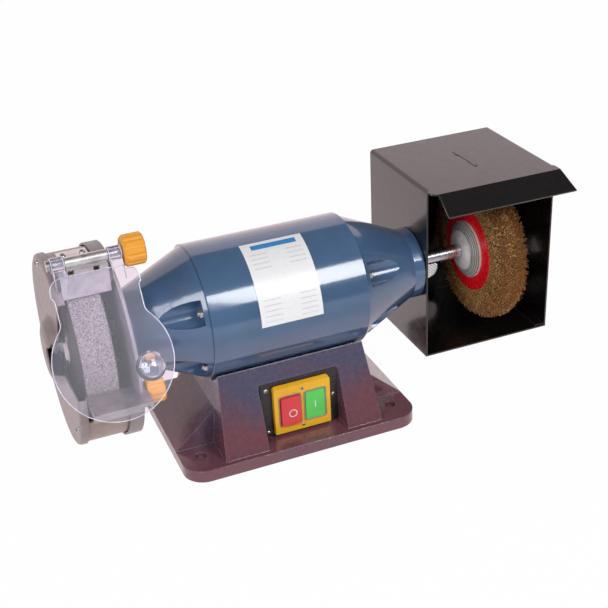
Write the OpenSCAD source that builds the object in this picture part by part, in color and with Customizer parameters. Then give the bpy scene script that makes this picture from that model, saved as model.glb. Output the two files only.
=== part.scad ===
// Bench grinder: a grinding wheel in a guard on the left and a wire brush in a folded
// hood on the right, both on the shaft of a motor that stands on a cast base.
// The origin is the centre of the base's bolt pattern, on the face that it stands on.
// X runs along the motor axis towards the brush, Y away from the operator, Z up.

/* [Base] */
// length of the base along the motor axis
base_len = 314; // [308:1:330]
// depth of the base from front to back
base_dep = 226; // [222:1:240]
// corner radius of the foot flange
foot_r = 28; // [20:1:32]
// thickness of the foot flange
foot_t = 16; // [12:1:20]
// distance between the base bolts along the axis
hole_dx = 262; // [256:1:268]
// distance between the base bolts from front to back
hole_dy = 156; // [148:1:160]
// diameter of the base bolt holes
hole_d = 14; // [10:0.5:16]
// height of the motor axis above the bench
axis_h = 175; // [172:1:182]
// half width of the pedestal at its top
ped_half_x = 97; // [92:1:99]
// half depth of the pedestal at its top
ped_half_y = 67; // [65:1:70]
// spread of each pedestal side from the top to the bench
ped_spread_x = 11; // [8:1:12]
// half depth of the side webs
web_half_y = 57; // [50:1:60]
// height at which the side webs meet the pedestal
web_top = 70; // [60:1:80]

/* [Motor] */
// outer radius of the motor shell
shell_r = 86; // [85:0.5:88]
// length of the motor shell
shell_len = 204; // [200:1:206]
// wall thickness of the motor shell
shell_t = 5; // [4:0.5:6]
// distance from the middle of the motor to the end of each nose
nose_x = 200; // [198:1:202]
// radius of the cylindrical nose
nose_r = 47; // [46:0.5:50]
// length of the cylindrical nose
nose_len = 15; // [12:1:18]
// step from the shell down to the end bell
bell_step = 2; // [1:0.5:3]
// radius of the scoops round the tie rods
scoop_r = 16; // [14:0.5:17]
// angle of the tie rods above and below the level of the axis
rod_angle = 31; // [28:1:36]
// turn of the four tie rods about the axis
rod_turn = 5; // [0:1:8]
// length of the stator core
stator_len = 90; // [70:1:100]
// depth of the windings between the stator bore and the tie rods
coil_depth = 18; // [14:1:20]
// air gap between the stator and the rotor
air_gap = 0.5; // [0.4:0.1:1]

/* [Shaft] */
// radius of the shaft outside the motor
shaft_r = 9.5; // [9:0.25:9.75]
// radius of the bearing bore
bearing_in_r = 10; // [10:0.5:11]
// outer radius of the bearings
bearing_out_r = 23.5; // [22:0.5:25]
// width of the bearings
bearing_w = 14; // [12:1:15]

/* [Grinding wheel] */
// radius of the grinding wheel
wheel_r = 100; // [90:1:101]
// width of the grinding wheel
wheel_w = 40; // [25:1:41]
// distance from the nose to the inner face of the wheel
wheel_gap = 22; // [18:1:24]
// radius of the wheel flanges
flange_r = 38; // [32:1:40]

/* [Wheel guard] */
// drop of the guard's centre below the shaft
guard_drop = 8.5; // [7:0.5:9.5]
// outer radius of the guard rim
rim_r = 115.5; // [114.5:0.5:117]
// outer radius of the guard body's lip
lip_r = 119.5; // [119:0.5:121]
// depth of the guard body's lip
lip_w = 17; // [12:1:20]
// distance from the nose to the outer cover's face
guard_w = 75; // [74:1:80]
// sheet thickness of the guard
guard_t = 2; // [1.5:0.25:2.5]
// angle of the rim's upper end above the level of the guard's centre
mouth_up = 62; // [58:1:66]
// angle of the rim's lower end below the level of the guard's centre
mouth_low = 22; // [20:1:26]
// angle of the cover's upper cut above the level of the guard's centre
cover_up = 53; // [50:1:56]
// angle of the cover's lower cut below the level of the guard's centre
cover_low = 3; // [0:1:8]
// radius of the cover's cut where it opens the dome
throat_r = 17; // [14:0.5:20]
// radius of the dome over the wheel nut
dome_r = 44; // [42:1:48]
// height of the dome over the wheel nut
dome_h = 12; // [10:1:14]

/* [Tool rest] */
// width of the tool rest plate
rest_w = 56; // [50:1:56]
// depth of the tool rest plate
rest_dep = 44; // [40:1:45]
// gap between the wheel and the tool rest
rest_gap = 4; // [3:0.5:6]
// drop of the tool rest below the shaft
rest_drop = 20; // [16:1:24]

/* [Eye shield] */
// sheet thickness of the eye shield
shield_t = 3; // [2.5:0.5:4]
// slope of the eye shield from upright
shield_tilt = 34; // [33:0.5:36]
// radius of the shield's round lower part
lobe_r = 68; // [64:0.5:70]
// half width of the shield's upper part
shield_half = 48; // [46:1:50]
// distance from the hinge to the centre of the round lower part
lobe_drop = 118; // [114:1:120]
// radius of the round lens
lens_r = 17; // [14:1:19]
// radius of the fluted clamping knob
knob_r = 18.5; // [16:0.5:19]

/* [Brush] */
// radius of the wire brush
brush_r = 100; // [90:1:103]
// width of the wire brush at its rim
brush_w = 52; // [46:1:54]
// distance from the nose to the brush
brush_gap = 80; // [78:1:84]
// radius of the brush's side discs
disc_r = 57; // [50:1:60]
// radius of the cup flanges
cup_r = 39; // [35:1:42]

/* [Brush hood] */
// width of the hood along the axis
hood_w = 186; // [184:1:200]
// distance from the shaft to the front edge of the hood's sides
hood_front = 48; // [40:1:55]
// distance from the shaft to the back of the hood
hood_back_y = 118; // [116:1:126]
// distance from the shaft down to the underside of the hood
hood_low = 121; // [119:1:126]
// distance from the shaft up to the top of the hood
hood_high = 118; // [116:1:124]
// sheet thickness of the hood
hood_t = 2; // [1.5:0.25:2.5]
// reach of the top in front of the sides
hood_lap = 14; // [10:1:18]
// forward reach of the sloping visor
visor_len = 39; // [30:1:45]
// drop of the sloping visor
visor_drop = 15; // [10:1:20]
// radius of the dust port in the hood's back
port_r = 16; // [12:1:20]

/* [Switch] */
// width of the switch recess
recess_w = 108; // [106:1:112]
// distance of the recess floor behind the front edge of the foot
recess_in = 38; // [36:1:40]
// width of the switch frame
frame_w = 76; // [72:1:78]
// height of the switch frame
frame_h = 70; // [66:1:71]
// depth of the switch frame
frame_d = 7; // [6:0.5:8]
// width of each push button
button_w = 26; // [24:1:27]
// height of each push button
button_h = 40; // [38:1:42]

/* [Hidden] */
$fn = 72;

// colours of the finishes
enamel = [0.13, 0.24, 0.36];
base_paint = [0.30, 0.24, 0.33];
guard_paint = [0.60, 0.56, 0.54];
hood_paint = [0.03, 0.03, 0.03];
steel = [0.62, 0.62, 0.63];
zinc = [0.74, 0.74, 0.72];
iron = [0.35, 0.35, 0.36];
copper = [0.72, 0.42, 0.25];
stone = [0.55, 0.55, 0.57];
brass = [0.74, 0.60, 0.34];
red = [0.80, 0.08, 0.12];
orange = [1.00, 0.60, 0.12];
yellow = [0.97, 0.76, 0.10];
green = [0.25, 0.70, 0.28];
black = [0.05, 0.05, 0.05];
paper = [0.88, 0.88, 0.88];
clear = [0.80, 0.84, 0.88];

// small overlap for cuts
cut = 1;

// base
saddle_rise = 27;
ped_top = axis_h - shell_r + saddle_rise;
ped_inset = 1;
ped_spread_y = base_dep / 2 - ped_half_y - ped_inset;
base_wall = 9;
cavity_x = ped_half_x + ped_spread_x - base_wall;
cavity_y = ped_half_y + ped_spread_y - base_wall;
cavity_top = axis_h - shell_r - base_wall;
cover_t = 2;
cover_lap = 7;
cover_z = 3;
cover_screw_r = 2;
cover_screw_in = 20;
cover_screw_head_r = 3.5;
cover_screw_head_t = 2;
cover_screw_len = 8;
switch_room = 60;

// motor
bell_x = shell_len / 2;
bell_r = shell_r - bell_step;
cone_end = nose_x - nose_len;
spigot = 10;
bore_r = shell_r - shell_t;
rod_in = 9;
rod_ring = bell_r - rod_in;
rod_r = 3;
scoop_lip = 6;
scoop_x = bell_x + scoop_lip;
slot_r = rod_r + 1;
winding_len = 24;
bearing_in = 34;
bearing_x = nose_x - bearing_in;
ring_gap = 0.4;
bell_wall = 6;
bell_cavity_r = rod_ring - scoop_r - bell_wall;
spigot_t = 5;
shaft_clear = 3;
bearing_lip = 4;
bolt_depth = 14;
head_flats = 8;
head_h = 3;
coil_gap = 4;
coil_r = rod_ring - slot_r - coil_gap;
stator_bore = coil_r - coil_depth - coil_gap;
rod_head_t = 4;
rod_end = 2;

// grinding wheel
wheel_x0 = -nose_x - wheel_gap;
wheel_x1 = wheel_x0 - wheel_w;
flange_t = 7;
nut_t = 9;
thread_r = 8;
nut_flats = 3 * thread_r;
shaft_out = 2;
shaft_left = wheel_x1 - flange_t - nut_t - shaft_out;

saddle_gap = 3;
saddle_half = 45;

// guard
guard_z = axis_h - guard_drop;
guard_x0 = -nose_x;
guard_x1 = -nose_x - guard_w;
wall_t = 4;
rim_t = 2.5;
cover_d = 10;
cover_fit = 0.3;
cover_r = rim_r + guard_t + cover_fit;
throat_y = -25;
throat_rise = 1;
shaft_hole = 16;
guard_bolt_ring = 34;

// tool rest
rest_t = 4;
rest_back = -sqrt(pow(wheel_r, 2) - pow(rest_drop, 2)) - rest_gap;
rest_front = rest_back - rest_dep;
rest_z = axis_h - rest_drop;
stud_head_t = 2.5;
rest_clear = 0.5;
stud_head_x = guard_x0 - wall_t - rest_clear;
rest_x0 = stud_head_x - stud_head_t - 2 * rest_clear;
tab_t = 4;
tab_x0 = guard_x0 + rest_clear;
tab_x1 = tab_x0 + tab_t;
tab_down = 18;
stud_r = 4;
stud_in = 6;
stud_drop = 8;
stud_y = rest_back - stud_in;
stud_z = rest_z - stud_drop;
stud_fit = 0.4;
tab_back = 8;
lip_drop = 9;
rest_lap = 4;
rest_grip_w = 21;
rest_knob_r = knob_r - 3;
slot_out = 12;
slot_in = 2;
rest_thread = 12;

// eye shield
hinge_out = 33;
hinge_front = 60;
hinge_up = 130;
hinge_x = -nose_x - hinge_out;
hinge_y = -hinge_front;
hinge_z = axis_h + hinge_up;
shield_shift = 3.5;
pin_r = 4;
pin_fit = 0.05;
barrel_r = 6.5;
barrel_w = 48;
ear_w = 15;
ear_r = 8.5;
ear_drop = 40;
ear_rib = 7;
top = 15;
corner = 16;
corner_out = 3;
blend = 14;
ear_gap = 1;
plate_w = 56;
plate_shift = -4;
plate_low = 45;
plate_t = 2;
square = 7;
square_dx = 29;
square_drop = 14;
knob_w = 25;
knob_gap = 1;
knob_x = hinge_x + barrel_w / 2 + ear_gap + ear_w + knob_gap;
foot_a = 75;
band_a = 100;
strap_gap = 1;
strap_x = hinge_x - barrel_w / 2 + strap_gap;
strap_w = guard_x0 - lip_w - strap_gap - strap_x;
rod_head_w = 4;
rod_head_rim = 2.5;
knob_bore = 14;
lens_dx = 38;
lens_drop = 133;
lens_t = 3;

// brush
brush_x0 = nose_x + brush_gap;
brush_x1 = brush_x0 + brush_w;
brush_waist = 8;
disc_t = 2;
cup_depth = 12;
brush_nut_t = 10;
brush_face = brush_x0 + brush_waist - disc_t;
brush_end = brush_x1 - brush_waist + disc_t;
brush_seat = brush_face - cup_depth;
shaft_end = 4;
shaft_right = brush_end + cup_depth + brush_nut_t + shaft_end;
drum_t = 12;

// hood
hood_x0 = nose_x;
hood_x1 = nose_x + hood_w;
hood_z0 = axis_h - hood_low;
hood_z1 = axis_h + hood_high;
bend_r = 5;
notch_r = 8;
hem = 14;
port_out = 89;
port_up = 22;
port_x = hood_x0 + port_out;
port_z = hood_z0 + port_r + port_up;
visor_in = 2.5;
notch_drop = 4;
bolt_hole_r = 2.8;
bolt_r = 2.5;
hood_bolt_ring = 34;

// switch
recess_x = 5;
recess_y = -base_dep / 2 + recess_in;
plate_gap = 2;
switch_plate_t = 2;
switch_plate_h = 76;
switch_z = foot_t + plate_gap + frame_h / 2;
switch_x = recess_x + 1;
frame_y = recess_y - switch_plate_t;
button_gap = 8;
button_seat = 1.5;
stop_rise = 5;
start_rise = 1;
button_clear = 0.5;
switch_body_w = 64;
switch_body_h = 46;
switch_body_d = 40;
switch_drop = 2;
switch_screw_in = 4;
frame_screw_out = 7;

// a cylinder along X from x0 to x1, centred on the shaft unless moved
module bar(x0, x1, r, z = axis_h, y = 0) {
  translate([x1, y, z])
    rotate([0, -90, 0])
      cylinder(h = x1 - x0, r = r);
}

// turns a profile of (radius, distance) about the X axis at the given height
module turned(z = axis_h, y = 0) {
  translate([0, y, z])
    rotate([0, 90, 0])
      rotate_extrude()
        children();
}

// a rectangle with exact round corners
module rounded_rect(l, w, r) {
  square([l - 2 * r, w], center = true);
  square([l, w - 2 * r], center = true);
  for (x = [-1, 1], y = [-1, 1])
    translate([x * (l / 2 - r), y * (w / 2 - r)])
      circle(r = r);
}

// an upright plate in the XZ plane, from y0 towards the back
module wall_xz(y0, t) {
  translate([0, y0 + t, 0])
    rotate([90, 0, 0])
      linear_extrude(t)
        children();
}

// a strip with a profile of (Y, Z), from x0 to x1
module strip_yz(x0, x1) {
  translate([x0, 0, 0])
    rotate([90, 0, 90])
      linear_extrude(x1 - x0)
        children();
}

// a hexagon prism along X
module hex_bar(x0, x1, flats) {
  translate([x0, 0, 0])
    rotate([0, 90, 0])
      cylinder(h = x1 - x0, r = flats / sqrt(3), $fn = 6);
}

// section of a tapered block from the bench to the pedestal's top
module taper(low, high, z0) {
  polygon([[-low, z0], [low, z0], [high, ped_top], [-high, ped_top]]);
}

// the flared pedestal, drawn in by a wall thickness
module pedestal(wall, z0) {
  low_x = ped_half_x + ped_spread_x - wall;
  low_y = ped_half_y + ped_spread_y - wall;
  intersection() {
    wall_xz(-base_dep / 2, base_dep)
      taper(low_x, ped_half_x - wall, z0);
    strip_yz(-base_len / 2, base_len / 2)
      taper(low_y, ped_half_y - wall, z0);
  }
}

module base_solid() {
  linear_extrude(foot_t)
    rounded_rect(base_len, base_dep, foot_r);
  pedestal(0, 0);
  wall_xz(-web_half_y, 2 * web_half_y)
    polygon([
      [-base_len / 2, 0], [base_len / 2, 0], [base_len / 2, foot_t],
      [ped_half_x, web_top], [-ped_half_x, web_top], [-base_len / 2, foot_t]]);
}

// hollow under the pedestal, kept clear of the switch recess
module base_cavity() {
  difference() {
    pedestal(base_wall, -cut);
    translate([-base_len / 2, -base_dep / 2, cavity_top])
      cube([base_len, base_dep, ped_top]);
    translate([recess_x - recess_w / 2 - base_wall, -base_dep, foot_t - base_wall])
      cube([recess_w + 2 * base_wall, base_dep + recess_y + base_wall, ped_top]);
  }
}

module cover_screw_places() {
  for (x = [-1, 1], y = [-1, 1])
    translate([x * (cavity_x + cover_lap / 2), y * (cavity_y - cover_screw_in), 0])
      children();
}

module base_casting() {
  color(base_paint)
    difference() {
      base_solid();
      bar(-base_len / 2, base_len / 2, shell_r, $fn = 120);
      for (s = [-1, 1])
        intersection() {
          bar(-base_len / 2, base_len / 2, shell_r + saddle_gap, $fn = 120);
          translate([-base_len / 2, s * (saddle_half + base_dep / 2) - base_dep / 2, 0])
            cube([base_len, base_dep, axis_h]);
        }
      base_cavity();
      translate([-cavity_x - cover_lap, -cavity_y - 1, -cut])
        cube([2 * (cavity_x + cover_lap), 2 * (cavity_y + 1), cover_z + cover_t + cut]);
      translate([recess_x - recess_w / 2, -base_dep, foot_t])
        cube([recess_w, base_dep + recess_y, ped_top]);
      translate([switch_x - switch_body_w / 2 - 1, recess_y - cut, switch_z - switch_body_h / 2 - 1])
        cube([switch_body_w + 2, base_wall + switch_room, switch_body_h + 2]);
      for (x = [-1, 1], y = [-1, 1])
        translate([x * hole_dx / 2, y * hole_dy / 2, -cut])
          cylinder(h = foot_t + 2 * cut, r = hole_d / 2);
      cover_screw_places()
        cylinder(h = cover_z + cover_t + cover_screw_len, r = cover_screw_r);
    }
}

module bottom_cover() {
  color(steel)
    difference() {
      translate([-cavity_x - cover_lap + 1, -cavity_y, cover_z])
        cube([2 * (cavity_x + cover_lap - 1), 2 * cavity_y, cover_t]);
      cover_screw_places()
        cylinder(h = 3 * cover_z, r = cover_screw_r + 0.3);
    }
}

module bottom_screws() {
  color(zinc)
    cover_screw_places() {
      translate([0, 0, cover_z - cover_screw_head_t])
        cylinder(h = cover_screw_head_t, r = cover_screw_head_r, $fn = 32);
      translate([0, 0, cover_z - cover_screw_head_t / 2])
        cylinder(h = cover_t + cover_screw_len, r = cover_screw_r, $fn = 32);
    }
}

module motor_shell() {
  color(enamel)
    difference() {
      bar(-bell_x, bell_x, shell_r, $fn = 120);
      bar(-bell_x - cut, bell_x + cut, bore_r, $fn = 120);
    }
}

// blank data plate of foil on the shell
module rating_label() {
  label_x0 = -41;
  label_w = 80;
  label_t = 0.4;
  label_low = 3;
  label_sweep = 75;
  color(paper)
    translate([label_x0, 0, axis_h])
      rotate([0, 90, 0])
        rotate([0, 0, -90 - label_low - label_sweep])
          rotate_extrude(angle = label_sweep, $fn = 120)
            translate([shell_r, 0])
              square([label_t, label_w]);
}

module rod_places() {
  for (a = [rod_angle, -rod_angle, 180 - rod_angle, 180 + rod_angle])
    translate([0, -rod_ring * cos(a - rod_turn), axis_h + rod_ring * sin(a - rod_turn)])
      children();
}

// the right end bell; the left one is its mirror image
module end_bell() {
  edge = 1;
  difference() {
    turned()
      polygon([
        [shaft_r + shaft_clear, nose_x], [nose_r - edge, nose_x], [nose_r, nose_x - edge],
        [nose_r, cone_end], [bell_r, bell_x], [bore_r, bell_x],
        [bore_r, bell_x - spigot], [bore_r - spigot_t, bell_x - spigot],
        [bore_r - spigot_t, bell_x], [bell_cavity_r, bell_x],
        [bearing_out_r + bearing_lip, bearing_x - bell_wall], [bearing_out_r, bearing_x - bell_wall],
        [bearing_out_r, bearing_x + bearing_w], [shaft_r + shaft_clear, bearing_x + bearing_w]]);
    rod_places() {
      translate([scoop_x, 0, 0])
        rotate([0, 90, 0])
          cylinder(h = nose_x, r = scoop_r);
      translate([bell_x - spigot - cut, 0, 0])
        rotate([0, 90, 0])
          cylinder(h = scoop_x, r = rod_r + 0.3, $fn = 32);
    }
    for (a = [45 : 90 : 315])
      translate([nose_x - bolt_depth, guard_bolt_ring * cos(a), axis_h + guard_bolt_ring * sin(a)])
        rotate([0, 90, 0])
          cylinder(h = bolt_depth + cut, r = bolt_r, $fn = 32);
  }
}

module left_end_bell() {
  color(enamel)
    mirror([1, 0, 0])
      end_bell();
}

module right_end_bell() {
  color(enamel)
    end_bell();
}

module tie_rods() {
  half = scoop_x + rod_head_t + rod_end;
  color(zinc)
    rod_places() {
      translate([-half, 0, 0])
        rotate([0, 90, 0])
          cylinder(h = 2 * half, r = rod_r, $fn = 32);
      both_ends()
        hex_bar(scoop_x, scoop_x + rod_head_t, 10);
    }
}

module stator_core() {
  color(iron)
    difference() {
      bar(-stator_len / 2, stator_len / 2, bore_r, $fn = 120);
      bar(-stator_len / 2 - cut, stator_len / 2 + cut, stator_bore);
      rod_places()
        translate([-stator_len, 0, 0])
          rotate([0, 90, 0])
            cylinder(h = 2 * stator_len, r = slot_r, $fn = 32);
    }
}

module stator_windings() {
  inner = coil_r - coil_depth;
  end = stator_len / 2 + winding_len;
  round = coil_depth / 3;
  color(copper)
    both_ends()
      turned()
        polygon([
          [inner, stator_len / 2], [coil_r, stator_len / 2],
          [coil_r, end - round], [coil_r - round, end],
          [inner + round, end], [inner, end - round]]);
}

module rotor_core() {
  color(steel)
    difference() {
      bar(-stator_len / 2, stator_len / 2, stator_bore - air_gap);
      bar(-stator_len / 2 - cut, stator_len / 2 + cut, bearing_in_r + shaft_clear);
    }
}

module motor_shaft() {
  shoulder = bearing_in_r + shaft_clear;
  tip = 1;
  color(steel)
    turned()
      polygon([
        [0, shaft_left], [thread_r - tip, shaft_left], [thread_r, shaft_left + tip],
        [thread_r, wheel_x0], [shaft_r, wheel_x0], [shaft_r, -bearing_x - bearing_w],
        [bearing_in_r, -bearing_x - bearing_w], [bearing_in_r, -bearing_x],
        [shoulder, -bearing_x], [shoulder, bearing_x], [bearing_in_r, bearing_x],
        [bearing_in_r, bearing_x + bearing_w], [shaft_r, bearing_x + bearing_w],
        [shaft_r, brush_seat], [thread_r, brush_seat],
        [thread_r, shaft_right - tip], [thread_r - tip, shaft_right], [0, shaft_right]]);
}

module both_ends() {
  for (s = [0, 1])
    mirror([s, 0, 0])
      children();
}

module bearing_outer_rings() {
  middle = (bearing_in_r + bearing_out_r) / 2;
  color(steel)
    both_ends()
      difference() {
        bar(bearing_x, bearing_x + bearing_w, bearing_out_r);
        bar(bearing_x - cut, bearing_x + bearing_w + cut, middle + ring_gap / 2);
      }
}

module bearing_inner_rings() {
  middle = (bearing_in_r + bearing_out_r) / 2;
  color(steel)
    both_ends()
      difference() {
        bar(bearing_x, bearing_x + bearing_w, middle - ring_gap / 2);
        bar(bearing_x - cut, bearing_x + bearing_w + cut, bearing_in_r);
      }
}

// wedge that opens the front of the guard, from angle lo to angle hi above the level
module mouth_wedge(x0, x1, hi, lo) {
  far = 2 * lip_r;
  translate([0, 0, guard_z])
    strip_yz(x0, x1)
      polygon([
        [0, 0], [-far * cos(hi), far * sin(hi)], [-far, far * sin(hi)],
        [-far, -far * sin(lo)], [-far * cos(lo), -far * sin(lo)]]);
}

module guard_body() {
  color(guard_paint)
    difference() {
      union() {
        bar(guard_x0 - wall_t, guard_x0, lip_r, guard_z, $fn = 120);
        difference() {
          bar(guard_x0 - lip_w, guard_x0 - wall_t, lip_r, guard_z, $fn = 120);
          bar(guard_x0 - lip_w - cut, guard_x0 - wall_t, lip_r - rim_t, guard_z, $fn = 120);
          mouth_wedge(guard_x0 - lip_w - cut, guard_x0 - wall_t, mouth_up, mouth_low);
        }
      }
      bar(guard_x0 - wall_t - cut, guard_x0 + cut, shaft_hole);
      bar(guard_x0 - wall_t - cut, guard_x0 + cut, stud_r + 0.3, stud_z, stud_y, $fn = 32);
      for (a = [45 : 90 : 315])
        translate([guard_x0 - wall_t - cut, guard_bolt_ring * cos(a), axis_h + guard_bolt_ring * sin(a)])
          rotate([0, 90, 0])
            cylinder(h = wall_t + 2 * cut, r = bolt_hole_r, $fn = 32);
    }
}

module guard_rim() {
  color(guard_paint)
    difference() {
      bar(guard_x1 + guard_t, guard_x0 - wall_t, rim_r, guard_z, $fn = 120);
      bar(guard_x1, guard_x0 - wall_t + cut, rim_r - rim_t, guard_z, $fn = 120);
      mouth_wedge(guard_x1, guard_x0, mouth_up, mouth_low);
    }
}

// front opening of the outer cover, which also opens the dome over the nut
module cover_mouth() {
  deep = 2 * dome_h + cover_d + cut;
  up = cover_r * [-cos(cover_up), sin(cover_up)];
  low = cover_r * [-cos(cover_low), -sin(cover_low)];
  translate([guard_x1 - 2 * dome_h, 0, guard_z]) {
    strip_yz(0, deep)
      polygon([
        [throat_y, throat_rise + throat_r], up, 2 * up, [2 * low[0], 2 * up[1]],
        2 * low, low, [throat_y, throat_rise - throat_r]]);
    translate([0, throat_y, throat_rise])
      rotate([0, 90, 0])
        cylinder(h = deep, r = throat_r);
  }
}

module outer_cover() {
  inner = cover_r - guard_t;
  color(guard_paint)
    difference() {
      mirror([1, 0, 0])
        turned(guard_z)
          polygon([
            [0, -guard_x1 + dome_h], [dome_r - 16, -guard_x1 + dome_h],
            [dome_r - 8, -guard_x1 + dome_h - 2.5], [dome_r - 3, -guard_x1 + 4],
            [dome_r, -guard_x1], [cover_r - 4, -guard_x1],
            [cover_r - 1.2, -guard_x1 - 1.2], [cover_r, -guard_x1 - 4],
            [cover_r, -guard_x1 - cover_d], [inner, -guard_x1 - cover_d],
            [inner, -guard_x1 - guard_t], [dome_r - guard_t, -guard_x1 - guard_t],
            [dome_r - 9, -guard_x1 + dome_h - 2.5 - guard_t],
            [dome_r - 17, -guard_x1 + dome_h - guard_t], [0, -guard_x1 + dome_h - guard_t]]);
      cover_mouth();
    }
}

module cover_screws() {
  ring = cover_r - 10;
  color(zinc)
    for (a = [106, -33])
      translate([guard_x1, -ring * cos(a), guard_z + ring * sin(a)])
        rotate([0, -90, 0])
          rotate_extrude($fn = 32)
            polygon([[0, 0], [4.2, 0], [4.2, 1.2], [3, 2.8], [0, 3.2]]);
}

module guard_bolts() {
  color(zinc)
    for (a = [45 : 90 : 315])
      translate([0, guard_bolt_ring * cos(a), axis_h + guard_bolt_ring * sin(a)]) {
        hex_bar(guard_x0 - wall_t - head_h, guard_x0 - wall_t, head_flats);
        translate([guard_x0 - wall_t, 0, 0])
          rotate([0, 90, 0])
            cylinder(h = wall_t + bolt_depth - 2, r = bolt_r, $fn = 32);
      }
}

module grinding_wheel() {
  edge = 1.5;
  color(stone)
    turned()
      polygon([
        [thread_r + 0.05, wheel_x1], [wheel_r - edge, wheel_x1], [wheel_r, wheel_x1 + edge],
        [wheel_r, wheel_x0 - edge], [wheel_r - edge, wheel_x0], [thread_r + 0.05, wheel_x0]]);
}

module wheel_flanges() {
  relief = 1;
  color(iron) {
    turned()
      polygon([
        [shaft_r, wheel_x0 + flange_t], [flange_r - 8, wheel_x0 + flange_t],
        [flange_r, wheel_x0 + 3], [flange_r, wheel_x0], [flange_r - 8, wheel_x0],
        [flange_r - 8, wheel_x0 + relief], [shaft_r, wheel_x0 + relief]]);
    turned()
      polygon([
        [thread_r, wheel_x1 - flange_t], [flange_r - 8, wheel_x1 - flange_t],
        [flange_r, wheel_x1 - 3], [flange_r, wheel_x1], [flange_r - 8, wheel_x1],
        [flange_r - 8, wheel_x1 - relief], [thread_r, wheel_x1 - relief]]);
  }
}

module wheel_nut() {
  color(zinc)
    translate([0, 0, axis_h])
      difference() {
        hex_bar(wheel_x1 - flange_t - nut_t, wheel_x1 - flange_t, nut_flats);
        translate([wheel_x1 - flange_t - nut_t - cut, 0, 0])
          rotate([0, 90, 0])
            cylinder(h = nut_t + 2 * cut, r = thread_r);
      }
}

module tool_rest() {
  turn_y = -lip_r - rest_t;
  tab_y1 = stud_y + slot_out + tab_back;
  slot_r = stud_r + stud_fit;
  color(steel)
    difference() {
      union() {
        translate([rest_x0 - rest_w, rest_front, rest_z - rest_t])
          cube([rest_w, rest_dep, rest_t]);
        translate([rest_x0 - rest_w, rest_front, rest_z - lip_drop])
          cube([rest_w, rest_t, lip_drop]);
        translate([rest_x0 - rest_lap, rest_front, rest_z - rest_t])
          cube([tab_x1 - rest_x0 + rest_lap, turn_y - rest_front, rest_t]);
        strip_yz(tab_x0, tab_x1)
          polygon([
            [rest_front, rest_z], [rest_front, rest_z - lip_drop],
            [turn_y, rest_z - tab_down], [tab_y1, rest_z - tab_down], [tab_y1, rest_z]]);
      }
      translate([tab_x0 - cut, stud_y - slot_in, stud_z - slot_r])
        cube([tab_t + 2 * cut, slot_in + slot_out, 2 * slot_r]);
      for (y = [stud_y - slot_in, stud_y + slot_out])
        bar(tab_x0 - cut, tab_x1 + cut, slot_r, stud_z, y, $fn = 32);
    }
}

// fluted grip of a clamping knob from x0 to x1, centred on the X axis
module grip(x0, x1, r) {
  flutes = 12;
  difference() {
    rotate([0, 90, 0])
      rotate_extrude()
        polygon([
          [0, x0], [r - 3, x0], [r, x0 + 3], [r, x1 - 2], [r - 2, x1], [0, x1]]);
    for (i = [0 : flutes - 1])
      rotate([i * 360 / flutes, 0, 0])
        translate([x0 - cut, 0, r + 1.2])
          rotate([0, 90, 0])
            cylinder(h = x1 - x0 + 2 * cut, r = 2.6, $fn = 24);
  }
}

module rest_knob() {
  grip_x = tab_x1 + rest_clear;
  color(orange)
    difference() {
      translate([0, stud_y, stud_z])
        grip(grip_x, grip_x + rest_grip_w, rest_knob_r);
      bar(grip_x - cut, grip_x + rest_thread, stud_r, stud_z, stud_y);
    }
}

module rest_bolt() {
  x0 = stud_head_x - stud_head_t;
  color(zinc) {
    bar(x0, tab_x1 + rest_clear + rest_thread, stud_r, stud_z, stud_y);
    translate([0, stud_y, stud_z])
      hex_bar(x0, stud_head_x, 3 * stud_r);
  }
}

// part of a ring about the guard's centre, between two angles above the front
module rim_band(x0, w, r, t, a0, a1) {
  translate([x0, 0, guard_z])
    rotate([0, 90, 0])
      rotate([0, 0, 270 - a1])
        rotate_extrude(angle = a1 - a0, $fn = 120)
          translate([r, 0])
            square([t, w]);
}

module shield_bracket() {
  foot_y = -(rim_r + plate_t / 2) * cos(foot_a);
  foot_z = guard_z + (rim_r + plate_t / 2) * sin(foot_a);
  reach = [hinge_y - foot_y, hinge_z - foot_z];
  slope = atan2(reach[1], reach[0]);
  x0 = hinge_x - barrel_w / 2;
  neck_w = barrel_w - 2 * strap_gap;
  wall_mid = (barrel_r + pin_r) / 2;
  plate_top = hinge_z - ear_r - 1.5 * ear_gap;
  color(zinc)
    difference() {
      union() {
        bar(x0, x0 + barrel_w, barrel_r, hinge_z, hinge_y);
        translate([strap_x, foot_y, foot_z])
          rotate([slope, 0, 0])
            translate([0, 0, -plate_t / 2])
              cube([strap_w, norm(reach) - wall_mid, plate_t]);
        rim_band(strap_x + strap_gap, strap_w - 2 * strap_gap, rim_r, plate_t, foot_a - 1, band_a);
        translate([hinge_x + plate_shift - plate_w / 2, hinge_y - plate_t / 2, hinge_z - plate_low])
          cube([plate_w, plate_t, plate_low + plate_top - hinge_z]);
        translate([strap_x, hinge_y - plate_t / 2, plate_top - plate_t])
          cube([neck_w, plate_t, hinge_z - wall_mid - plate_top + plate_t]);
      }
      bar(x0 - cut, x0 + barrel_w + cut, pin_r + pin_fit, hinge_z, hinge_y);
      for (s = [-1, 1])
        translate([hinge_x + plate_shift + s * square_dx / 2, hinge_y, hinge_z - square_drop])
          cube([square, 3 * plate_t, square], center = true);
    }
}

module bracket_screws() {
  color(zinc)
    for (x = [strap_w / 5, strap_w * 4 / 5])
      translate([strap_x + x, 0, guard_z])
        rotate([-2, 0, 0])
          translate([0, 0, rim_r + plate_t])
            rotate_extrude($fn = 32)
              polygon([[0, 0], [4, 0], [4, 1], [2.8, 2.6], [0, 3]]);
}

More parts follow.
